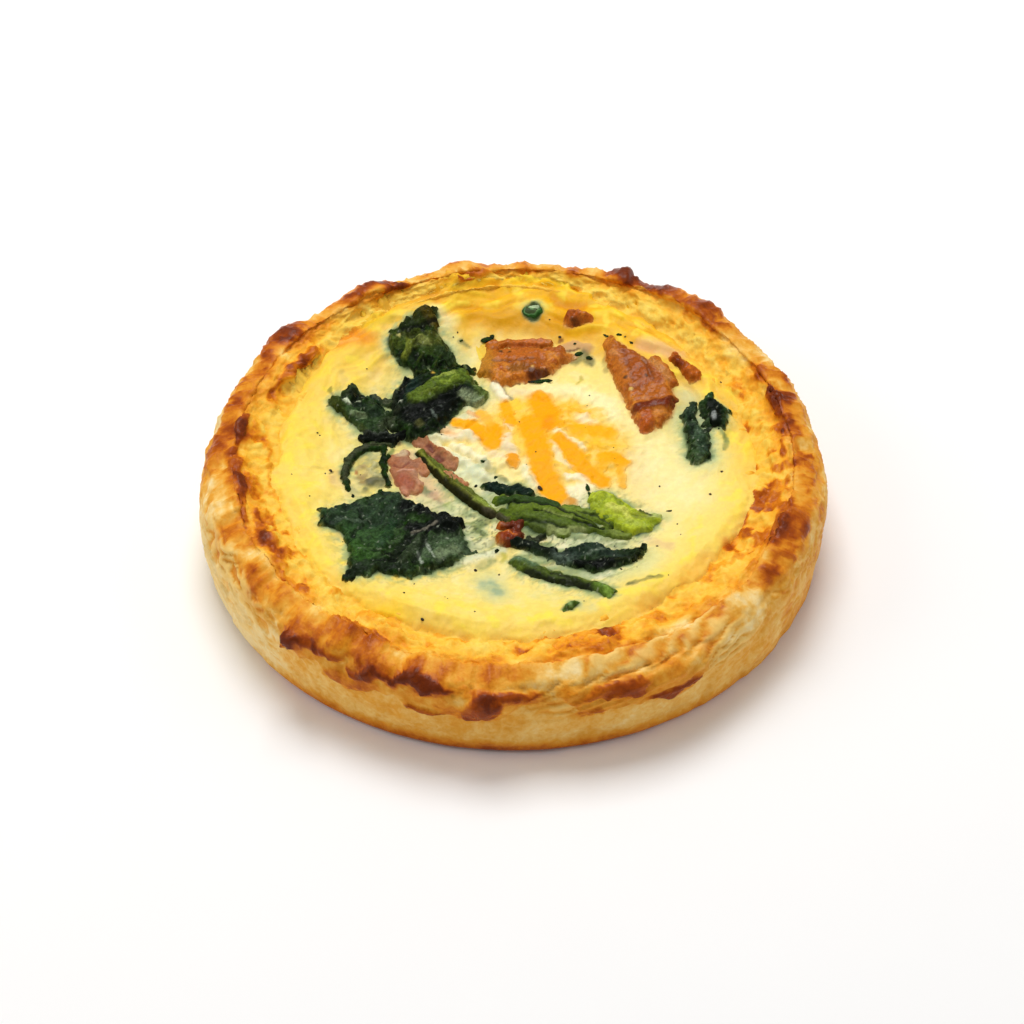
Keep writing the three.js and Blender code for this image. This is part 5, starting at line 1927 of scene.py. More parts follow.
MELTS = (
    Melt("cheddar_right", name="melted_cheddar_right", grow=MELT_RIGHT),
    Melt("cheddar_left", name="melted_cheddar_left", grow=MELT_LEFT),
)
SPINACHES = (
    Piece(
        "leaf_back", seed=31, along=60, high=0.9, folds=0.8, film=0.03, flecks=0.2, ragged=0.9,
        crest="3d4810",
        grow=(Mark("-16,31.4 -14,29.6", 1.8), Mark("-20,30.6 -18,28.4", 1.6), Mark("-12.4,33 -11,31", 1.0)),
        marks=(
            Mark("-22,39.4 -18.5,41.6 -15,42.6", 2.2, "2c310c", 0.8, 0.3),
            Mark("-17.6,42 -15.4,40", 1.2, "53450c", 0.8, 0.1, grain=0.3),
            Mark("-24,37.8 -20.6,38.6", 1.2, "233112"),
            # A black line in the crease: painted shade.
            Mark("-22,37 -18.6,38.4 -15.6,40.6", 0.45, BLACK, 0.8, -0.35),
            Mark("-26.4,36 -24.4,36.4", 1.0, "344512", 0.8, 0.2),
            Mark("-20.4,35.4 -17,34.6 -14,37", 1.6, "5f6727", 0.65, 0.1, grain=0.5),
            Mark("-18.8,35.6 -16.8,34.6", 0.7, "848b48", 0.8, 0.15),
            Mark("-14.6,37.2", 0.8, "69723c", 0.7, 0.15),
            Mark("-22.8,35.6", 0.4, "cec478", 0.9, 0.1),
            Mark("-23.8,34.6 -22.6,34", 1.3, "505f1f", grain=0.4),
            Mark("-20.4,35 -21,33 -21.6,31", 0.6, "77812d", 0.85, 0.25),
            Mark("-17.8,33 -15.4,33.6", 1.0, "344918", 0.75, 0.1),
            Mark("-14.6,34 -12.4,33 -13,31.4", 1.1, "2c3d1e", 0.8, 0.1, grain=0.3),
        ),
    ),
    Piece(
        "leaf_left", seed=32, along=20, high=0.8, folds=0.8, film=0.08, flecks=0.35, ragged=0.8,
        crest="465c32",
        grow=(
            Mark("-31.4,22.6 -32.2,19", 0.9),
            Mark("-27,20.4 -24.6,19.6", 1.3),
            Mark("-24,16 -22.6,12.6", 1.6),
            Mark("-29,9.8 -24,9.2 -21,10", 1.3),
        ),
        marks=(
            Mark("-33,15 -29,12 -25,13", 3.0, "344c28", 0.7, grain=0.3),
            Mark("-31.4,23 -32,19.4", 0.9, "323c23", 0.85, 0.3),
            Mark("-28.6,21 -27,20.4", 1.2, "23372d", 0.8, 0.1),
            Mark("-26.6,21 -24.8,20", 1.0, "5a5f46", 0.75, grain=0.4),
            Mark("-35.6,18 -34,15 -33.6,13", 1.3, "3c4614", 0.8, 0.1),
            # A black line in the groove: painted shade.
            Mark("-31.4,19.6 -30.8,16.6", 0.8, BLACK, 0.75, -0.3),
            Mark("-29.4,17 -27,15.4 -26,17.6", 1.0, "1e2e1e", 0.7, 0.15),
            Mark("-32.8,17.2 -32.2,16.8", 0.55, "d7e1be", 0.95, 0.3),
            Mark("-31.4,14.4 -29,14.2", 0.5, "809268", grain=0.5),
            Mark("-30.4,18", 0.4, "d0dab4"),
            Mark("-25,11.8 -24,14.4", 1.4, "3c412d", 0.8, 0.1, grain=0.2),
            Mark("-32,12.6 -29,10.8", 0.8, "546034", 0.7, grain=0.4),
            Mark("-24,10.8 -20,11.2", 1.0, BLACK, 0.9, 0.1),
            Mark("-29.2,9.6 -24,9 -21.4,9.6", 1.4, BLACK, 0.97, 0.15),
            Mark("-29.6,10.6 -26,10.2 -23,10.4", 0.3, "40463c", 0.8, 0.25),
        ),
    ),
    Piece(
        "leaf_front", seed=33, high=0.9, folds=0.75, bumps=0.25, film=0.03, flecks=0.3, ragged=0.9, along=58,
        stretch=2.2, fold_size=3.0, crest="486238",
        grow=(
            Mark("-34,-14.6 -36,-13.2", 1.0), Mark("-34,-17 -36,-16.6", 0.8), Mark("-10,-20.4 -8.2,-22", 1.6),
            Mark("-28,-29.6 -30.4,-31.2", 1.1), Mark("-13.6,-14 -10.4,-15", 1.4),
        ),
        marks=(
            Mark("-32,-14 -26,-14 -22,-9", 4.0, "344834", 0.7, grain=0.5),
            Mark("-30,-20 -26,-20", 3.0, "34542a", 0.75, grain=0.5),
            Mark("-29.4,-24.4 -27,-27.6", 1.9, "3e6428", 0.7, grain=0.35),
            Mark("-30.4,-30.4 -25,-28.4 -20,-28.4", 1.2, "1e2a19"),
            # Black in the groove: painted shade.
            Mark("-26,-27.6 -21,-26.6", 0.5, BLACK, 0.75, -0.3),
            Mark("-16,-22.6 -12,-21.4 -9,-22", 3.2, "546848", 0.8, -0.2, grain=0.5),
            Mark("-14,-24 -11,-22.4", 1.2, "7e8e68", 0.7, grain=0.5),
            Mark("-17.8,-23.4 -17,-27", 0.28, "aab4a0"),
            Mark("-16.4,-20.6 -14.8,-24.4", 0.24, "aab4a0", 0.7),
            # Near black in the fold's groove: painted shade.
            Mark("-18,-18 -19.8,-20.4 -21.4,-24 -22.2,-26.6", 1.0, "0f160c", 0.85, -0.4),
            Mark("-17.4,-19.4 -18.6,-22.6 -20.6,-26.6", 0.8, "323e28", 0.85, 0.7),
            # Black in the groove: painted shade.
            Mark("-16.4,-19.4 -17.4,-24 -18.6,-26.4", 0.55, BLACK, 0.8, -0.2),
            Mark("-22.6,-15 -23.4,-19 -25,-23.4", 0.8, "244024", 0.7, 0.35),
            # Black in the groove: painted shade.
            Mark("-29,-12.6 -28.4,-17 -30,-20.6", 0.45, BLACK, 0.6, -0.25),
            Mark("-33,-16 -30,-16.6 -27,-15", 0.4, "586854", 0.6, 0.2, grain=0.4),
            Mark("-20,-11.6 -16,-12 -13.6,-14.4 -10.6,-15", 1.9, BLACK, 0.97, 0.7),
            Mark("-19,-17 -15,-16.6 -11.4,-17.2", 1.4, BLACK, 0.95, 0.2),
            # Two thin pale lines along the black rolls: painted highlights.
            Mark("-19,-18.2 -16.4,-17.4 -14.4,-15.8", 0.26, "6e695a", 0.85, 0.1),
            Mark("-20.6,-12.6 -17.4,-11", 0.25, "485446", 0.7, 0.1),
        ),
    ),
    Piece(
        "leaf_scrap", seed=34, high=0.7, folds=0.5, flecks=0.2, crest="364e2c",
        grow=(Mark("-5,-4.6 -1,-6.4 3,-7.4", 1.3),),
        marks=(Mark("-4,-5.6 -2.4,-6.6 0,-6 2.6,-7", 1.3, "14261e", 0.9, 0.2),),
    ),
    Piece(
        "leaf_strip", seed=35, along=-12, stretch=2.2, high=0.7, folds=0.7, flecks=0.3, film=0.12,
        slope=0.6, ragged=0.9, crest="40543c",
        marks=(
            Mark("0,-20 2.6,-20.6 5,-21.6 7.6,-22.6", 1.1, "0f160f", 0.9, 0.2),
            Mark("3,-19 5,-18.6", 0.9, "3c412d"),
            Mark("8,-24 11,-24.6", 1.3, "505e52", 0.8, -0.1, grain=0.3),
            Mark("12,-22.4 15,-21.8 18,-22.6 20,-23.6", 2.0, "28372d", 0.8, 0.25, grain=0.2),
            Mark("14,-23.4 17,-22.6", 0.4, "6e7c68", 0.6, grain=0.5),
            Mark("12,-25.6 16,-26.6 19.6,-26", 1.0, BLACK, 0.97, 0.2),
            Mark("21,-23 22.6,-23.6", 1.5, "1e2d14", 0.85, 0.1),
            Mark("19.4,-26.2 22.4,-25.6 23.8,-23.6 24.4,-21.2", 0.45, "192308", 0.95, 0.45),
        ),
        grow=(
            Mark("19.4,-26.2 22.4,-25.6 23.8,-23.6 24.4,-21.2", 0.55),
            Mark("-0.6,-19.4 3,-20.4 7,-22.6", 1.6),
            Mark("3,-19 6,-18.6", 0.7),
            Mark("8,-23.6 13,-24.4", 1.2),
            Mark("13,-22 18,-22.4 21,-23.4", 1.2),
        ),
    ),
    Piece(
        "leaf_right_inner", seed=36, along=-80, stretch=2, high=0.7, folds=0.7, film=0.2, flecks=0.4,
        slope=0.5, ragged=0.9, crest="546848",
        grow=(Mark("35,17 34,14 35,11 36,8 36.6,4", 1.3), Mark("37,15.6 38,11 37.4,6", 0.9)),
        marks=(
            Mark("35,17.4 34,14", 1.1, "2d412d", 0.8, 0.15, grain=0.2),
            Mark("35,11 36,8", 1.1, "4c6248", grain=0.3),
            Mark("36.2,7 36.6,3.4", 0.9, "324832", 0.8, 0.1, grain=0.3),
            # A black line in the groove: painted shade.
            Mark("34.2,13.4 34.8,9", 0.4, BLACK, 0.7, -0.2),
        ),
    ),
    Piece(
        "leaf_right_outer", seed=37, high=0.7, folds=0.6, flecks=0.3, slope=0.6, ragged=0.8, crest="385032",
        grow=(Mark("38.4,18.2 37.4,16.6", 0.9), Mark("41.4,15 40.6,10", 0.7)),
        marks=(
            Mark("38.2,18.2 37.4,17", 1.0, "2d4b23", 0.85, 0.2),
            Mark("39,16 39.6,12.6 39,10.4", 1.5, BLACK, 0.92, 0.2),
            # A grey glint on the black roll: painted highlight.
            Mark("39,13 39,11.8", 0.4, "969b96", 0.85, 0.1),
        ),
    ),
    Piece(
        "leaf_bundle", seed=38, along=35, stretch=2.4, high=1.5, slope=1.1, folds=0.6, flecks=0.15,
        ragged=0.8, crest="2c3e22",
        grow=(
            Mark("-22,14 -20,10.6", 1.9),
            Mark("-19,13 -17.4,10.4", 1.3),
            Mark("-11,18.6 -6,20.4", 1.4),
            Mark("-14.6,31 -12,29.4 -9,29.6", 1.3),
        ),
        marks=(
            Mark("-21,24 -20.6,19 -16,15", 4.2, "101610", 0.7, grain=0.2),
            Mark("-20.2,25 -20,20", 1.6, "1c3028", 0.8, -0.1),
            Mark("-17,31 -21,28.6 -23,25 -24,21 -24,17.6 -22.4,15.4", 0.85, "2c3224", 0.85, 0.8),
            # Black in the inner groove: painted shade.
            Mark("-16.6,29.4 -20,27 -21.6,24 -22.2,19.6", 0.6, BLACK, 0.9, -0.5),
            Mark("-22.1,18.5", 0.35, "dce2c8", 0.9, 0.2),
            # Black in the pit under the stalk: painted shade.
            Mark("-20,14 -16,16 -12,19.6 -11,20.6", 2.6, BLACK, 0.95, -0.1),
            # Grey glints on the folds: painted highlights.
            Mark("-16,15.6 -15,13", 0.28, "5a645a", 0.8, 0.1),
            Mark("-14.6,17 -14,16.4", 0.3, "464b46"),
            Mark("-18.2,11.6", 0.9, "505028", 0.8, 0.1),
            Mark("-18.6,19.4 -15,22.4 -11,25 -7.6,26.4 -6,26", 2.1, "586c20", 0.98, 0.8, soft=0.3),
            Mark("-18,19.4 -15.4,20.6", 0.6, "5f6e23", 0.85, 0.15),
            # A pale streak along the stalk: painted highlight.
            Mark("-15.6,24.6 -12,25.6", 0.6, "96a546", 0.85, 0.15),
            Mark("-14,23 -11,24.2", 0.5, "829632", 0.8, 0.1),
            Mark("-9.6,26.6 -7,27", 0.6, "465519"),
            Mark("-17,20.6 -13.6,22 -10,23.2", 0.3, "2c360e", 0.8, -0.15),
            Mark("-8.2,25.6 -6.4,24.2", 0.35, "282d0f", 0.85, -0.2),
            Mark("-6.8,23.4 -5.6,21.2", 1.5, "6e823c", 0.75, grain=0.4),
            Mark("-9.6,20.2 -6.4,19", 1.2, "a0af82", 0.75, grain=0.3),
            Mark("-9.6,29.4", 1.0, BLACK, 0.85, 0.4),
            Mark("-9.4,29.5", 0.4, "788854", 0.8, 0.1),
            Mark("-15.8,26.6", 0.35, "c4a03c"),
        ),
    ),
    Piece(
        "strand_arch", seed=39, high=0.5, folds=0.3, bumps=0.15, slope=0.3, ragged=0.5, rim=OLIVE,
        grow=(Mark("-23.4,8.4 -27,8.4 -30,6.4 -31.8,3.2 -32.4,-1", 0.7), Mark("-32.2,-2 -31.4,-5", 0.6)),
        marks=(Mark("-24,8 -27,8 -29.6,6.4 -31.6,3.4 -32.4,0 -32,-3", 0.6, "4a4e34", 0.75, 0.15, grain=0.3),),
    ),
    Piece(
        "strand_short", seed=40, high=0.5, folds=0.2, bumps=0.1, slope=0.3, ragged=0.4, rim=OLIVE,
        grow=(Mark("-25,8 -25.2,3 -24.6,-0.6 -24,-3.4", 0.7),),
        marks=(Mark("-23.8,7 -24,5", 0.3, "647328", 0.85, 0.1),),
    ),
)
STALKS = (
    Piece(
        "stem_long", seed=41, along=-50, stretch=8, fold_size=1.1, high=1.0, slope=0.5, ragged=0.25,
        folds=0.2, bumps=0.08, rim=LEAF,
        grow=(Mark("-16,3.4 -12,-1.8 -8,-6.4 -4.6,-10", 0.9), Mark("-2.6,-12.8 -0.8,-14", 0.8)),
        marks=(
            Mark("-19.6,7 -17.4,3.4 -14.4,-1 -11,-5.6 -7.4,-9.6 -4,-12.8", 1.7, "585a16", 0.9),
            # A dark line on the stem's lower side: painted shade.
            Mark("-20,6.6 -17,1.6 -13.6,-3.4 -9.6,-8.2 -6,-12 -3,-14", 0.75, "1e1e05", 0.95, -0.2),
            Mark("-16,3.4 -12,-1.8 -8,-6.4 -4.6,-10", 0.9, "606a26", 0.85, -0.5),
            Mark("-6.6,-8.6 -3.6,-11", 1.0, "96a546", 0.8, -0.3),
            # Thin light lines on the stem's upper side: painted highlights.
            Mark("-18.6,5.6 -16,1.6 -13,-2.4", 0.25, "8c9238", 0.8, 0.1),
            Mark("-11,-4.4 -7,-8.8", 0.22, "848a38", 0.7, 0.1),
            Mark("-5.4,-11.6 -1,-14", 0.6, "4b4632"),
        ),
    ),
    Piece(
        "stem_front", seed=42, along=-33, stretch=6, fold_size=1.3, high=0.55, slope=0.7, ragged=0.5,
        folds=0.3, bumps=0.2, rim=LEAF, crest="5c6c2c", flecks=0.25, film=0.05,
        marks=(
            Mark("-1.4,-21.8 4,-26.4 11,-30.2 18.4,-35.6", 2.2, "41501e", 0.85, grain=0.15),
            Mark("-1,-22.6 4,-25.2", 1.2, "64825f", grain=0.3),
            # Black along the stem's lower edge: painted shadow.
            Mark("2.6,-27.6 7,-30.4 11,-31.8 16.4,-35", 0.75, "141908", 0.92, -0.1),
            Mark("6,-26.6 11,-29 15,-32", 0.4, "707a32", 0.8, 0.15),
            Mark("7,-28.4 12.4,-31.4", 0.35, "1a200a", 0.75, -0.15),
            Mark("16,-33.6 18,-35.4", 1.3, "62802a", 0.85, 0.15),
            Mark("17,-34.6 18,-36.2", 0.6, "7c9b3a", 0.8, 0.1),
            Mark("18.7,-35 19,-35.8", 0.3, "1e240c", 0.85, -0.1),
        ),
    ),
    Piece(
        "stem_bundle", seed=43, along=-21, stretch=7, high=0.55, slope=0.7, ragged=0.6, folds=0.25,
        bumps=0.15, fold_size=1.3, rim=LEAF, crest="788c2c",
        grow=(
            Mark("-3,-8.6 2,-8.8 8,-10.6", 1.2),
            Mark("10,-11.4 14,-12.4 18.4,-15", 1.2),
            Mark("17,-17 21.4,-18", 1.1),
            Mark("-2,-12 4,-16 10,-17.6", 1.0),
        ),
        marks=(
            Mark("0,-11 9,-14 17,-16.8", 3.6, "50621e", grain=0.2),
            Mark("-2,-9 4,-9.4 8,-11", 1.0, "2d461e", 0.85, 0.2),
            Mark("0,-12 5,-11.6 10,-13.6 15,-15.6", 0.8, "627620", 0.85, 0.2),
            Mark("10,-11.6 14,-12.6 18,-15", 1.1, "70842a", 0.85, 0.2),
            Mark("2,-13.6 7,-14.6 12,-16", 0.8, "546820", 0.8, 0.15),
            Mark("4,-16 8,-16.6", 1.2, "4b5a28"),
            Mark("7,-17.2 13,-17.6", 0.8, "a5af6e", 0.75, -0.1, grain=0.3),
            Mark("19,-17.4 21,-18", 1.0, "788737", 0.85, 0.1),
            Mark("-1,-10.2 4,-10.6 8,-11.6 12,-14 16,-15.6", 0.33, "0f1908", 0.9, -0.3),
            Mark("4,-12.6 8,-13.6 13,-15.6 17,-16.6", 0.33, "0f1908", 0.9, -0.3),
            Mark("1,-14.4 5,-15.4 10,-16.8", 0.3, "1a260c", 0.8, -0.2),
            Mark("12,-12.6 16,-13.6 19,-16.4", 0.28, "1a260c", 0.8, -0.2),
            Mark("6,-12.8 11,-14.6", 0.24, "94a44e", 0.7, 0.1),
            Mark("20.7,-17.3", 0.35, "1e280e", 0.85),
        ),
    ),
    Piece(
        "leaf_crumb", seed=44, high=0.6, slope=0.5, folds=0.5, flecks=0.2, crest="6e8c4c",
        marks=(
            Mark("11.6,-37 10.4,-38.6 9.4,-40.6", 1.2, "486628", 0.85),
            Mark("10.5,-38.8", 0.5, "8ca564", 0.8, 0.1),
        ),
    ),
)
LIMES = (
    Piece(
        "leaf_lime", seed=45, along=-30, stretch=3, high=0.7, slope=0.7, ragged=0.4, folds=0.35,
        rim="c4cc6e",
        grow=(
            Mark("25.6,-12.8 27.6,-12.8", 0.7),
            Mark("24,-15.8 25.4,-16.2", 0.9),
            Mark("14.6,-9.4 15.2,-8", 0.7),
            Mark("24,-11.8 26,-13", 0.35),
        ),
        marks=(
            Mark("16,-7 19,-10 23,-13.6", 3.0, "b6c434"),
            Mark("15.4,-10.6 17,-11.6", 1.1, "96a528", 0.8, -0.1),
            Mark("23.6,-13.2 25,-13.8", 1.1, "747c1a", grain=0.3),
            Mark("19.4,-8.8 20.4,-10.6", 0.5, "78871e", 0.85, -0.2),
            # A pale streak on the leaf: painted highlight.
            Mark("18,-11.4 21,-12.4 22,-14.6", 0.7, "ccd05c", 0.85, 0.3),
            Mark("16,-6.4 17.6,-8.4 17,-10", 0.35, "849422", 0.7, -0.15),
            Mark("22,-15 24.6,-16.4", 0.8, "a5b43c", 0.8, 0.1),
            Mark("26,-13 28.4,-13", 0.6, "b2bc70"),
            Mark("24,-11.8 26,-13", 0.3, "323714", 0.9, 0.3),
        ),
    ),
)
BACONS = (
    Piece(
        "bacon_back", seed=51, high=1.1, slope=1.3, ragged=0.6, folds=0.16, bumps=0.06, rim=BLUSH,
        crest="c1721b", fold_size=4.6,
        grow=(Mark("-5.6,29 -4,37", 1.6), Mark("-3,37.2 7,36.8", 1.1), Mark("7,34 9.6,34.4", 1.0)),
        marks=(
            Mark("-5,37 -1,37.4", 1.8, "b05f16", 0.85, 0.1),
            Mark("1,36 5,37", 1.6, "ba6327", 0.85, 0.2, grain=0.15),
            Mark("-6,28.6 -5,33", 2.0, "ba7d23", 0.85, 0.1),
            Mark("-2,33 4,32.4", 2.3, "b25c17", 0.85, 0.2),
            # Darker brown low on the piece: painted shade.
            Mark("0,28 3,28.6", 1.2, "7f4d15", 0.8, -0.1),
            Mark("3.8,29.2 5.4,30.4", 1.2, "9f5418", 0.7, grain=0.3),
            Mark("4,26.8 6.4,27", 1.3, "471b03", 0.9, -0.1),
            Mark("7,26 8.4,25.6", 0.6, "393718", 0.85),
            Mark("-4,30.6 0,30.2 4,31", 0.35, "6a350e", 0.6, -0.1),
            Mark("-4,35.2 1,34.8 6,35", 0.5, "854215", 0.5, -0.1),
            Mark("3.8,28.4", 0.4, "d6a14a", 0.8, 0.1),
            Mark("6.6,34.6 9,34.6 9.6,32", 0.8, "a3541c", 0.8, 0.2),
            Mark("-2.6,33.2", 0.5, "351f0c", 0.9, 0.1),
            Mark("-0.8,33", 0.35, "351f0c", 0.9, 0.1),
        ),
    ),
    Piece(
        "bacon_bit_back", seed=52, high=1.0, slope=0.7, ragged=0.5, bumps=0.4, rim=BLUSH,
        marks=(
            Mark("11.4,42 12,41.4", 1.2, "a64e18", 0.85, 0.1),
            Mark("13,42.8 15,42", 0.8, "c37030", 0.85, 0.2),
            Mark("12,40.5 13,40", 0.5, "683712", 0.85),
            Mark("15.5,41", 1.0, "be6518", 0.85),
            Mark("14.7,39.7", 0.5, "d5801f", 0.85),
        ),
    ),
    Piece(
        "bacon_right", seed=53, high=1.0, slope=1.1, ragged=0.55, folds=0.14, bumps=0.08, rim=BLUSH,
        crest="ba6317", fold_size=4.2, along=-58, stretch=2.4,
        grow=(Mark("19.4,36 19.6,31 21.6,24", 1.3), Mark("28,29 31.4,23", 1.4), Mark("25,15 26,11.6", 1.0)),
        marks=(
            Mark("20,33.4 21.6,27 22.6,21.6", 1.3, "b4651d", 0.85, 0.1),
            Mark("22.6,33 24,28 25.6,23", 1.7, "99490e", 0.85),
            Mark("23.4,21.6 25.6,21 27,19", 1.0, "8e4716", 0.7, grain=0.3),
            Mark("26.4,29.6 29,26 30.6,23.4", 1.0, "be7d3b", 0.85, 0.2),
            Mark("26.4,27 28.6,22.6", 1.0, "9b4b1b"),
            Mark("25.4,30.6 26.6,26.4 27.4,23.4", 0.4, "753711", 0.6, -0.15),
            Mark("22,31.6 22.8,27 23.6,23.4", 0.4, "7b3a11", 0.5, -0.1),
            Mark("27,20 30.4,19", 1.7, "b05f18", 0.85, 0.1),
            Mark("24.4,15.6 27,16.6 30,16.6 33,18", 1.1, "682006", 0.92, 0.45),
            Mark("33,17.4", 1.1, "7b3510", 0.8, 0.2),
            Mark("25.4,10.8 26,13.6", 1.3, "ac5013", 0.85),
            Mark("27.6,14 29,15", 0.6, "cb8034", 0.7),
            # Two pale specks: painted highlights.
            Mark("23.3,21", 0.4, "dab863", 0.85, 0.1),
            Mark("19.5,32 20.5,31", 0.5, "d18a4a", 0.8, 0.2),
            Mark("22.2,24.6", 0.4, "2f210d"),
            Mark("26.4,24", 0.35, "2f210d"),
        ),
    ),
    Piece(
        "bacon_bit_right", seed=54, high=1.0, slope=0.8, ragged=0.55, bumps=0.4, rim=GOLD,
        grow=(Mark("32,29.6 34,26.4 36,24.6", 1.3),),
        marks=(
            Mark("32,28.6 34,27 35,24.6", 1.8, "a94d0d", 0.85, 0.1),
            Mark("32,28.6 33,26.4", 0.8, "722906", 0.85, 0.2),
            Mark("35.5,25 36.5,24.4", 1.0, "c3671a", 0.85),
        ),
    ),
    Piece(
        "bacon_bit_front", seed=55, high=1.1, slope=0.6, ragged=0.3, bumps=0.35, rim="9d4915",
        grow=(Mark("-2.4,-15.4 1.2,-15.4 0.8,-17 -0.6,-18.6 -2.6,-18.6", 0.9),),
        marks=(
            Mark("-2.8,-15 -3,-17.6", 1.2, "b45c15", 0.92),
            Mark("0.9,-16 0.5,-18.8", 3.2, "5c1e10", 0.92, 0.1),
            Mark("-1.6,-18.6 0,-18.6", 0.9, "8e3712", 0.85),
            Mark("-3,-16 -1.4,-17.8 0.6,-19", 0.24, "cf7026", 0.85, 0.1),
        ),
    ),
)
HAMS = (
    Piece(
        "ham_chunk", seed=56, high=0.45, slope=1.0, ragged=0.4, bumps=0.08, folds=0.12, along=-55,
        fold_size=3.4, rim=BLUSH,
        grow=(
            Mark("-22,3.6 -21,-2 -19,-4", 2.4),
            Mark("-18,3 -17,0", 1.2),
            Mark("-21,-4 -20.4,-6", 0.7),
            Mark("-21.6,4 -21,5.6", 1.2),
        ),
        marks=(
            Mark("-21,3 -21,-3", 3.2, "9a5d42", 0.75, grain=0.25),
            Mark("-21,-2.6 -20.4,-4", 1.4, "a3573c"),
            Mark("-22,-0.6 -19,0 -18,-1.6", 0.26, "cc967d", 0.85, 0.15),
            Mark("-21,3 -19,1.6", 0.9, "a37257"),
            Mark("-23,1.4 -21.4,0.6 -20,2", 0.3, "7e4031", 0.7, -0.25),
            Mark("-21,-5 -20.4,-6", 0.7, "c38565", 0.85),
            Mark("-18.5,-1 -17.6,-2.6", 0.9, "bf8e6e", 0.8, 0.1),
            Mark("-21.6,5.4", 1.3, "c8b08a", 0.85),
        ),
    ),
    Piece(
        "ham_sliver", seed=57, along=-50, stretch=3, high=0.6, slope=0.5, ragged=0.5, folds=0.3, rim=BLUSH,
        grow=(Mark("-19.4,9.4 -17,7.4 -14.6,4 -11.6,1", 1.3), Mark("-13,-1 -9,-4", 0.8)),
        marks=(
            Mark("-19,9 -17,7 -15,4 -12.6,1.6 -10.6,0", 0.9, "a36e4d", 0.85),
            Mark("-16.6,7 -15.4,5.4", 0.5, "6f392e", 0.85, -0.15),
            Mark("-14.6,3.6 -13.6,2.4", 0.5, "6f392e", 0.85, -0.15),
        ),
    ),
)
ONIONS = (
    Piece(
        "onion_slice", seed=71, high=0.15, slope=0.35, ragged=0.3, bumps=0.06, folds=0.04, rim=LEAF,
        cell=0.12, squash=0.68,
        marks=(
            Mark("3.8,44.4", 1.9, "28501e"),
            Mark("3.2,44.4 4.4,44.4", 0.8, "78a064", 0.85, -0.3, grain=0.2),
            Mark("3.5,45 5,45", 0.3, "c4d6aa", 0.8, 0.1),
            Mark("3.4,44 4.4,43.8", 0.3, "406830", 0.8, -0.1),
        ),
    ),
)


@dataclass
class Crumbs:
    """Many small bits of one kind, each its own size and shape, in one mesh.

    Each bit is x, y, its half-width and how long it is for its width, and the angle at which it lies.
    """

    name: str
    bits: tuple[tuple[float, ...], ...]
    flat: float = 0.6
    faces: int = 2
    seed: int = 5
    strewn: int = 0
    sizes: tuple[float, float] = (0.08, 0.2)

    def laid(self) -> list[tuple[float, ...]]:
        """The placed bits and the strewn ones.

        Returns:
            All bits, with their length and angle.
        """
        rng = np.random.default_rng(self.seed)
        bits = [tuple(bit) + (1.0, 0.0)[len(bit) - 3:] for bit in self.bits]
        for _ in range(self.strewn):
            turn = rng.uniform(0, 2 * math.pi)
            away = 43 * math.sqrt(rng.uniform())
            spot = (away * math.cos(turn), away * math.sin(turn), rng.uniform(*self.sizes))
            bits.append(spot + (rng.uniform(1, 1.8), rng.uniform(0, 180)))
        return bits

    def build(self, custard: Custard) -> bpy.types.Object:
        """Makes the bits and joins them.

        Args:
            custard: The custard on which they lie.

        Returns:
            The joined mesh.
        """
        bits = self.laid()
        heights = custard.height(np.array([(x * MM, y * MM, 0.0) for x, y, *_ in bits]))
        made = []
        for (x, y, size, long, angle), height in zip(bits, heights):
            place = CENTRE + (x * MM, y * MM, height + 0.25 * size * self.flat * MM)
            bpy.ops.mesh.primitive_ico_sphere_add(
                subdivisions=self.faces,
                radius=size * MM,
                location=place,
                rotation=(0, 0, math.radians(angle)),
                scale=(long, 1, self.flat),
            )
            made.append(bpy.context.active_object)
        for one in made:
            one.select_set(True)
        bpy.context.view_layer.objects.active = made[0]
        bpy.ops.object.transform_apply(location=True, rotation=True, scale=True)
        bpy.ops.object.join()
        piece = named(self.name)
        points = corners_of(piece)
        noise = Noise(self.seed)
        size = 0.5 * MM * max(0.3, max(bit[2] for bit in bits))
        points = points + normals_of(piece) * (0.35 * size * noise.layers(points, 1.6 * size, 2))[:, None]
        place_corners(piece, points)
        coat = Coat(len(points))
        coat.store(piece)
        return piece


PEPPERS = Crumbs(
    "pepper_specks",
    (
        (-25.5, -41.2, 0.3), (-16.5, -41.6, 0.36), (-7, -40, 0.16), (-42, -23, 0.24), (-37.5, 9, 0.2),
        (37.5, -7.7, 0.26), (10, -21.4, 0.34), (-7, -26.3, 0.3, 1.4, 120), (9.4, 38.2, 0.34),
        (7.4, 42.4, 0.18), (-35, -0.4, 0.3, 1.6, 120), (-36, -1.4, 0.18), (-38.6, -9, 0.16),
        (-20, -35, 0.2), (31, -15, 0.16), (28, -4, 0.2), (-12, 38.6, 0.16), (-33.6, -12, 0.3),
        (5, -5.8, 0.4, 2.2, 130), (41, 24, 0.25, 1.8, 100), (40, -1.4, 0.3), (24.6, -14, 0.3, 2, 150),
        (13, -37, 0.14), (-12, -36, 0.14), (-2.6, -27.5, 0.2), (14, 10.6, 0.18), (-29, 28, 0.16),
        (-34.6, -32, 0.2),
    ),
    seed=81,
    strewn=46,
)
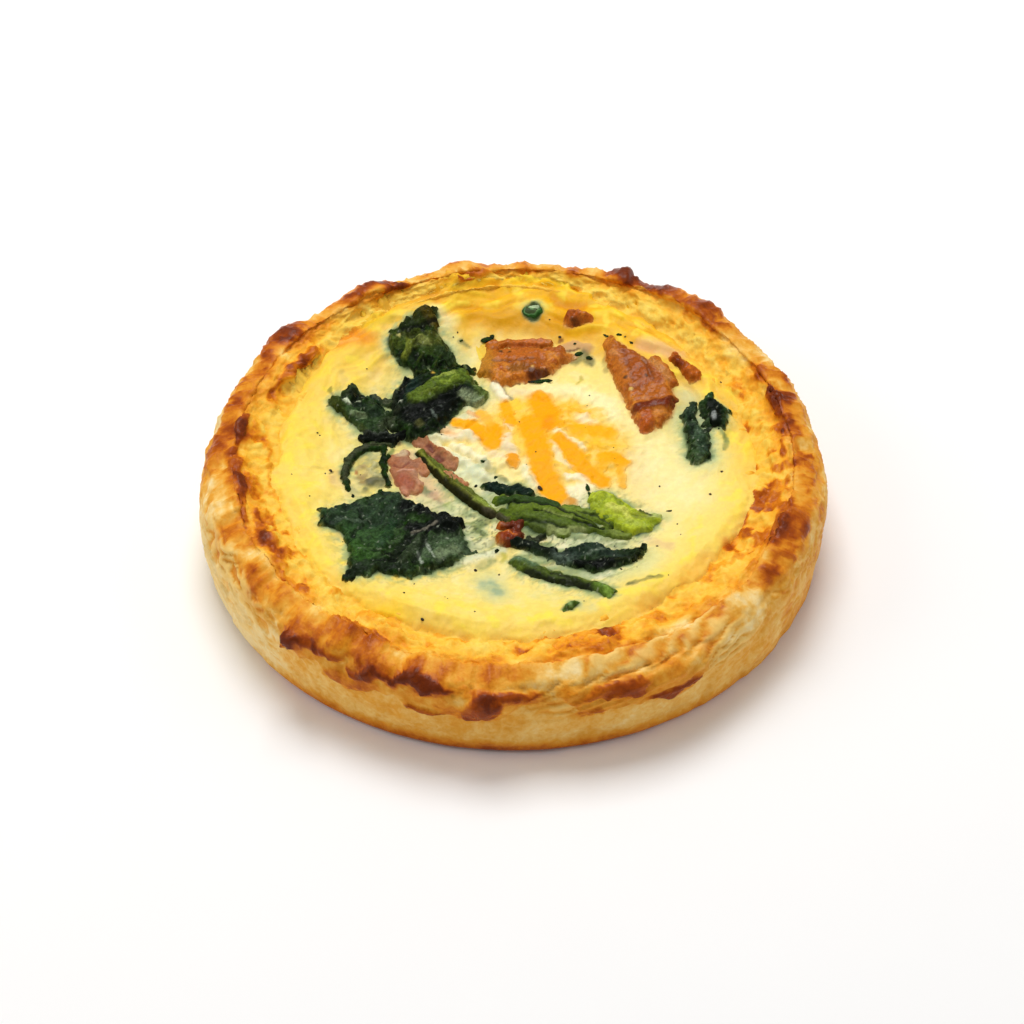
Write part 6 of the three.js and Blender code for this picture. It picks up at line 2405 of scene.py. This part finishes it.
HERBS = Crumbs(
    "green_bits",
    (
        (-5.2, 38.8, 0.9, 1.6, 20), (-4.2, 39.6, 0.5, 1.5, 100), (13.2, 33.8, 0.6, 1.6, 30),
        (15.2, 32.8, 0.5, 1.5, 150), (18.6, 37.4, 0.35, 1.8, 140), (21.2, 36.8, 0.35, 1.6, 160),
        (23.4, 35, 0.35, 1.6, 150), (14.1, -5.8, 0.42, 2.4, 100), (14.5, -7.8, 0.36, 2.4, 104),
        (-10.4, 38, 0.3, 1.5, 20), (-5.8, 1.6, 0.35, 1.6, 140), (-3.2, -2.6, 0.4, 1.5, 110),
        (-7.2, -4.4, 0.3, 1.4, 60), (5.4, 25.6, 0.5, 5, 5), (-3, -21.6, 0.35, 1.8, 60),
        (-28, -7.6, 0.5, 1.5, 30), (-30.6, -6.4, 0.35, 1.5, 100), (-25.4, -5, 0.4, 1.7, 60),
        (29.6, -11, 0.22, 2.4, 10), (12.4, 36.4, 0.25, 1.8, 30),
    ),
    flat=0.3,
    faces=3,
    seed=82,
)


# ---------------------------------------------------------------- studio
@dataclass
class Studio:
    """Floor, soft light and camera."""

    elevation: float = 43.7
    distance: float = 0.6
    lens: float = 107.8
    shift: tuple[float, float] = (-0.00107, 0.0176)
    floor_size: float = 4.0
    sky: float = 0.34
    lamp_size: float = 0.5
    lamps: tuple[tuple[str, float, tuple[float, float, float]], ...] = (
        ("overhead", 6.2, (-0.05, 0.36, 0.84)),
        ("left", 1.6, (-0.75, -0.1, 0.5)),
        ("right", 0.9, (0.75, -0.05, 0.5)),
    )

    def build(self) -> None:
        """Sets up everything round the quiche."""
        scene = bpy.context.scene
        scene.view_settings.view_transform = "Standard"
        self.floor()
        self.world(scene)
        for name, power, place in self.lamps:
            self.lamp(name, power, place)
        self.camera(scene)

    def floor(self) -> None:
        """Adds the pale floor."""
        bpy.ops.mesh.primitive_plane_add(size=self.floor_size)
        floor = named("floor")
        r = Recipe("floor", Specular_IOR_Level=0.1)
        grain = r.noise(40 * MM, 2.0)
        base = r.blend(grain, "f9f8f7", "fbfaf9")
        floor.data.materials.append(r.finish(base, r.span(grain, 0.0, 1.0, 0.85, 0.95)))

    def world(self, scene: bpy.types.Scene) -> None:
        """Adds the even white surroundings.

        Args:
            scene: The scene.
        """
        world = bpy.data.worlds.new("studio")
        world.use_nodes = True
        world.node_tree.nodes["Background"].inputs["Color"].default_value = (1.0, 0.99, 0.975, 1.0)
        world.node_tree.nodes["Background"].inputs["Strength"].default_value = self.sky
        scene.world = world

    def lamp(self, name: str, power: float, place: tuple[float, float, float]) -> None:
        """Adds a soft square light that faces the quiche.

        Args:
            name: The lamp's name.
            power: Its power in watts.
            place: Where it hangs.
        """
        light = bpy.data.lights.new(name, "AREA")
        light.size = self.lamp_size
        light.energy = power
        lamp = bpy.data.objects.new(name, light)
        lamp.location = place
        lamp.rotation_euler = (Vector(CENTRE) - Vector(place)).to_track_quat("-Z", "Y").to_euler()
        bpy.context.scene.collection.objects.link(lamp)

    def camera(self, scene: bpy.types.Scene) -> None:
        """Adds the camera in front of the quiche, looking down on it.

        Args:
            scene: The scene.
        """
        tilt = math.radians(self.elevation)
        eye = bpy.data.cameras.new("camera")
        eye.lens = self.lens
        eye.sensor_width = 36.0
        eye.shift_x, eye.shift_y = self.shift
        eye.clip_start = 0.01
        camera = bpy.data.objects.new("camera", eye)
        away = Vector((0.0, -math.cos(tilt), math.sin(tilt))) * self.distance
        camera.location = Vector(CENTRE) + away
        camera.rotation_euler = (math.pi / 2 - tilt, 0.0, 0.0)
        scene.collection.objects.link(camera)
        scene.camera = camera


def main() -> None:
    """Builds the quiche and the studio."""
    logging.basicConfig(level=logging.INFO, format="%(message)s")
    crust = Crust()
    complete(crust.build(), Slot.PASTRY, Pastry().material(), "crust")
    custard = Custard(Footprints(), crust)
    complete(custard.build(), Slot.CUSTARD, EggCustard().material(), "custard")
    for slot, finish, pieces in (
        (Slot.CHEDDAR, CHEDDAR, MELTS),
        (Slot.SPINACH, SPINACH, SPINACHES),
        (Slot.STALK, STALK, STALKS),
        (Slot.PALE_LEAF, PALE_LEAF, LIMES),
        (Slot.BACON, BACON, BACONS),
        (Slot.HAM, HAM, HAMS),
        (Slot.ONION, ONION, ONIONS),
    ):
        material = finish.material()
        for piece in pieces:
            complete(piece.build(custard), slot, material, piece.node)
        if slot is Slot.SPINACH:
            complete(HERBS.build(custard), slot, material)
    complete(PEPPERS.build(custard), Slot.CUSTARD, PEPPER.material())
    Studio().build()


if __name__ == "__main__":
    main()
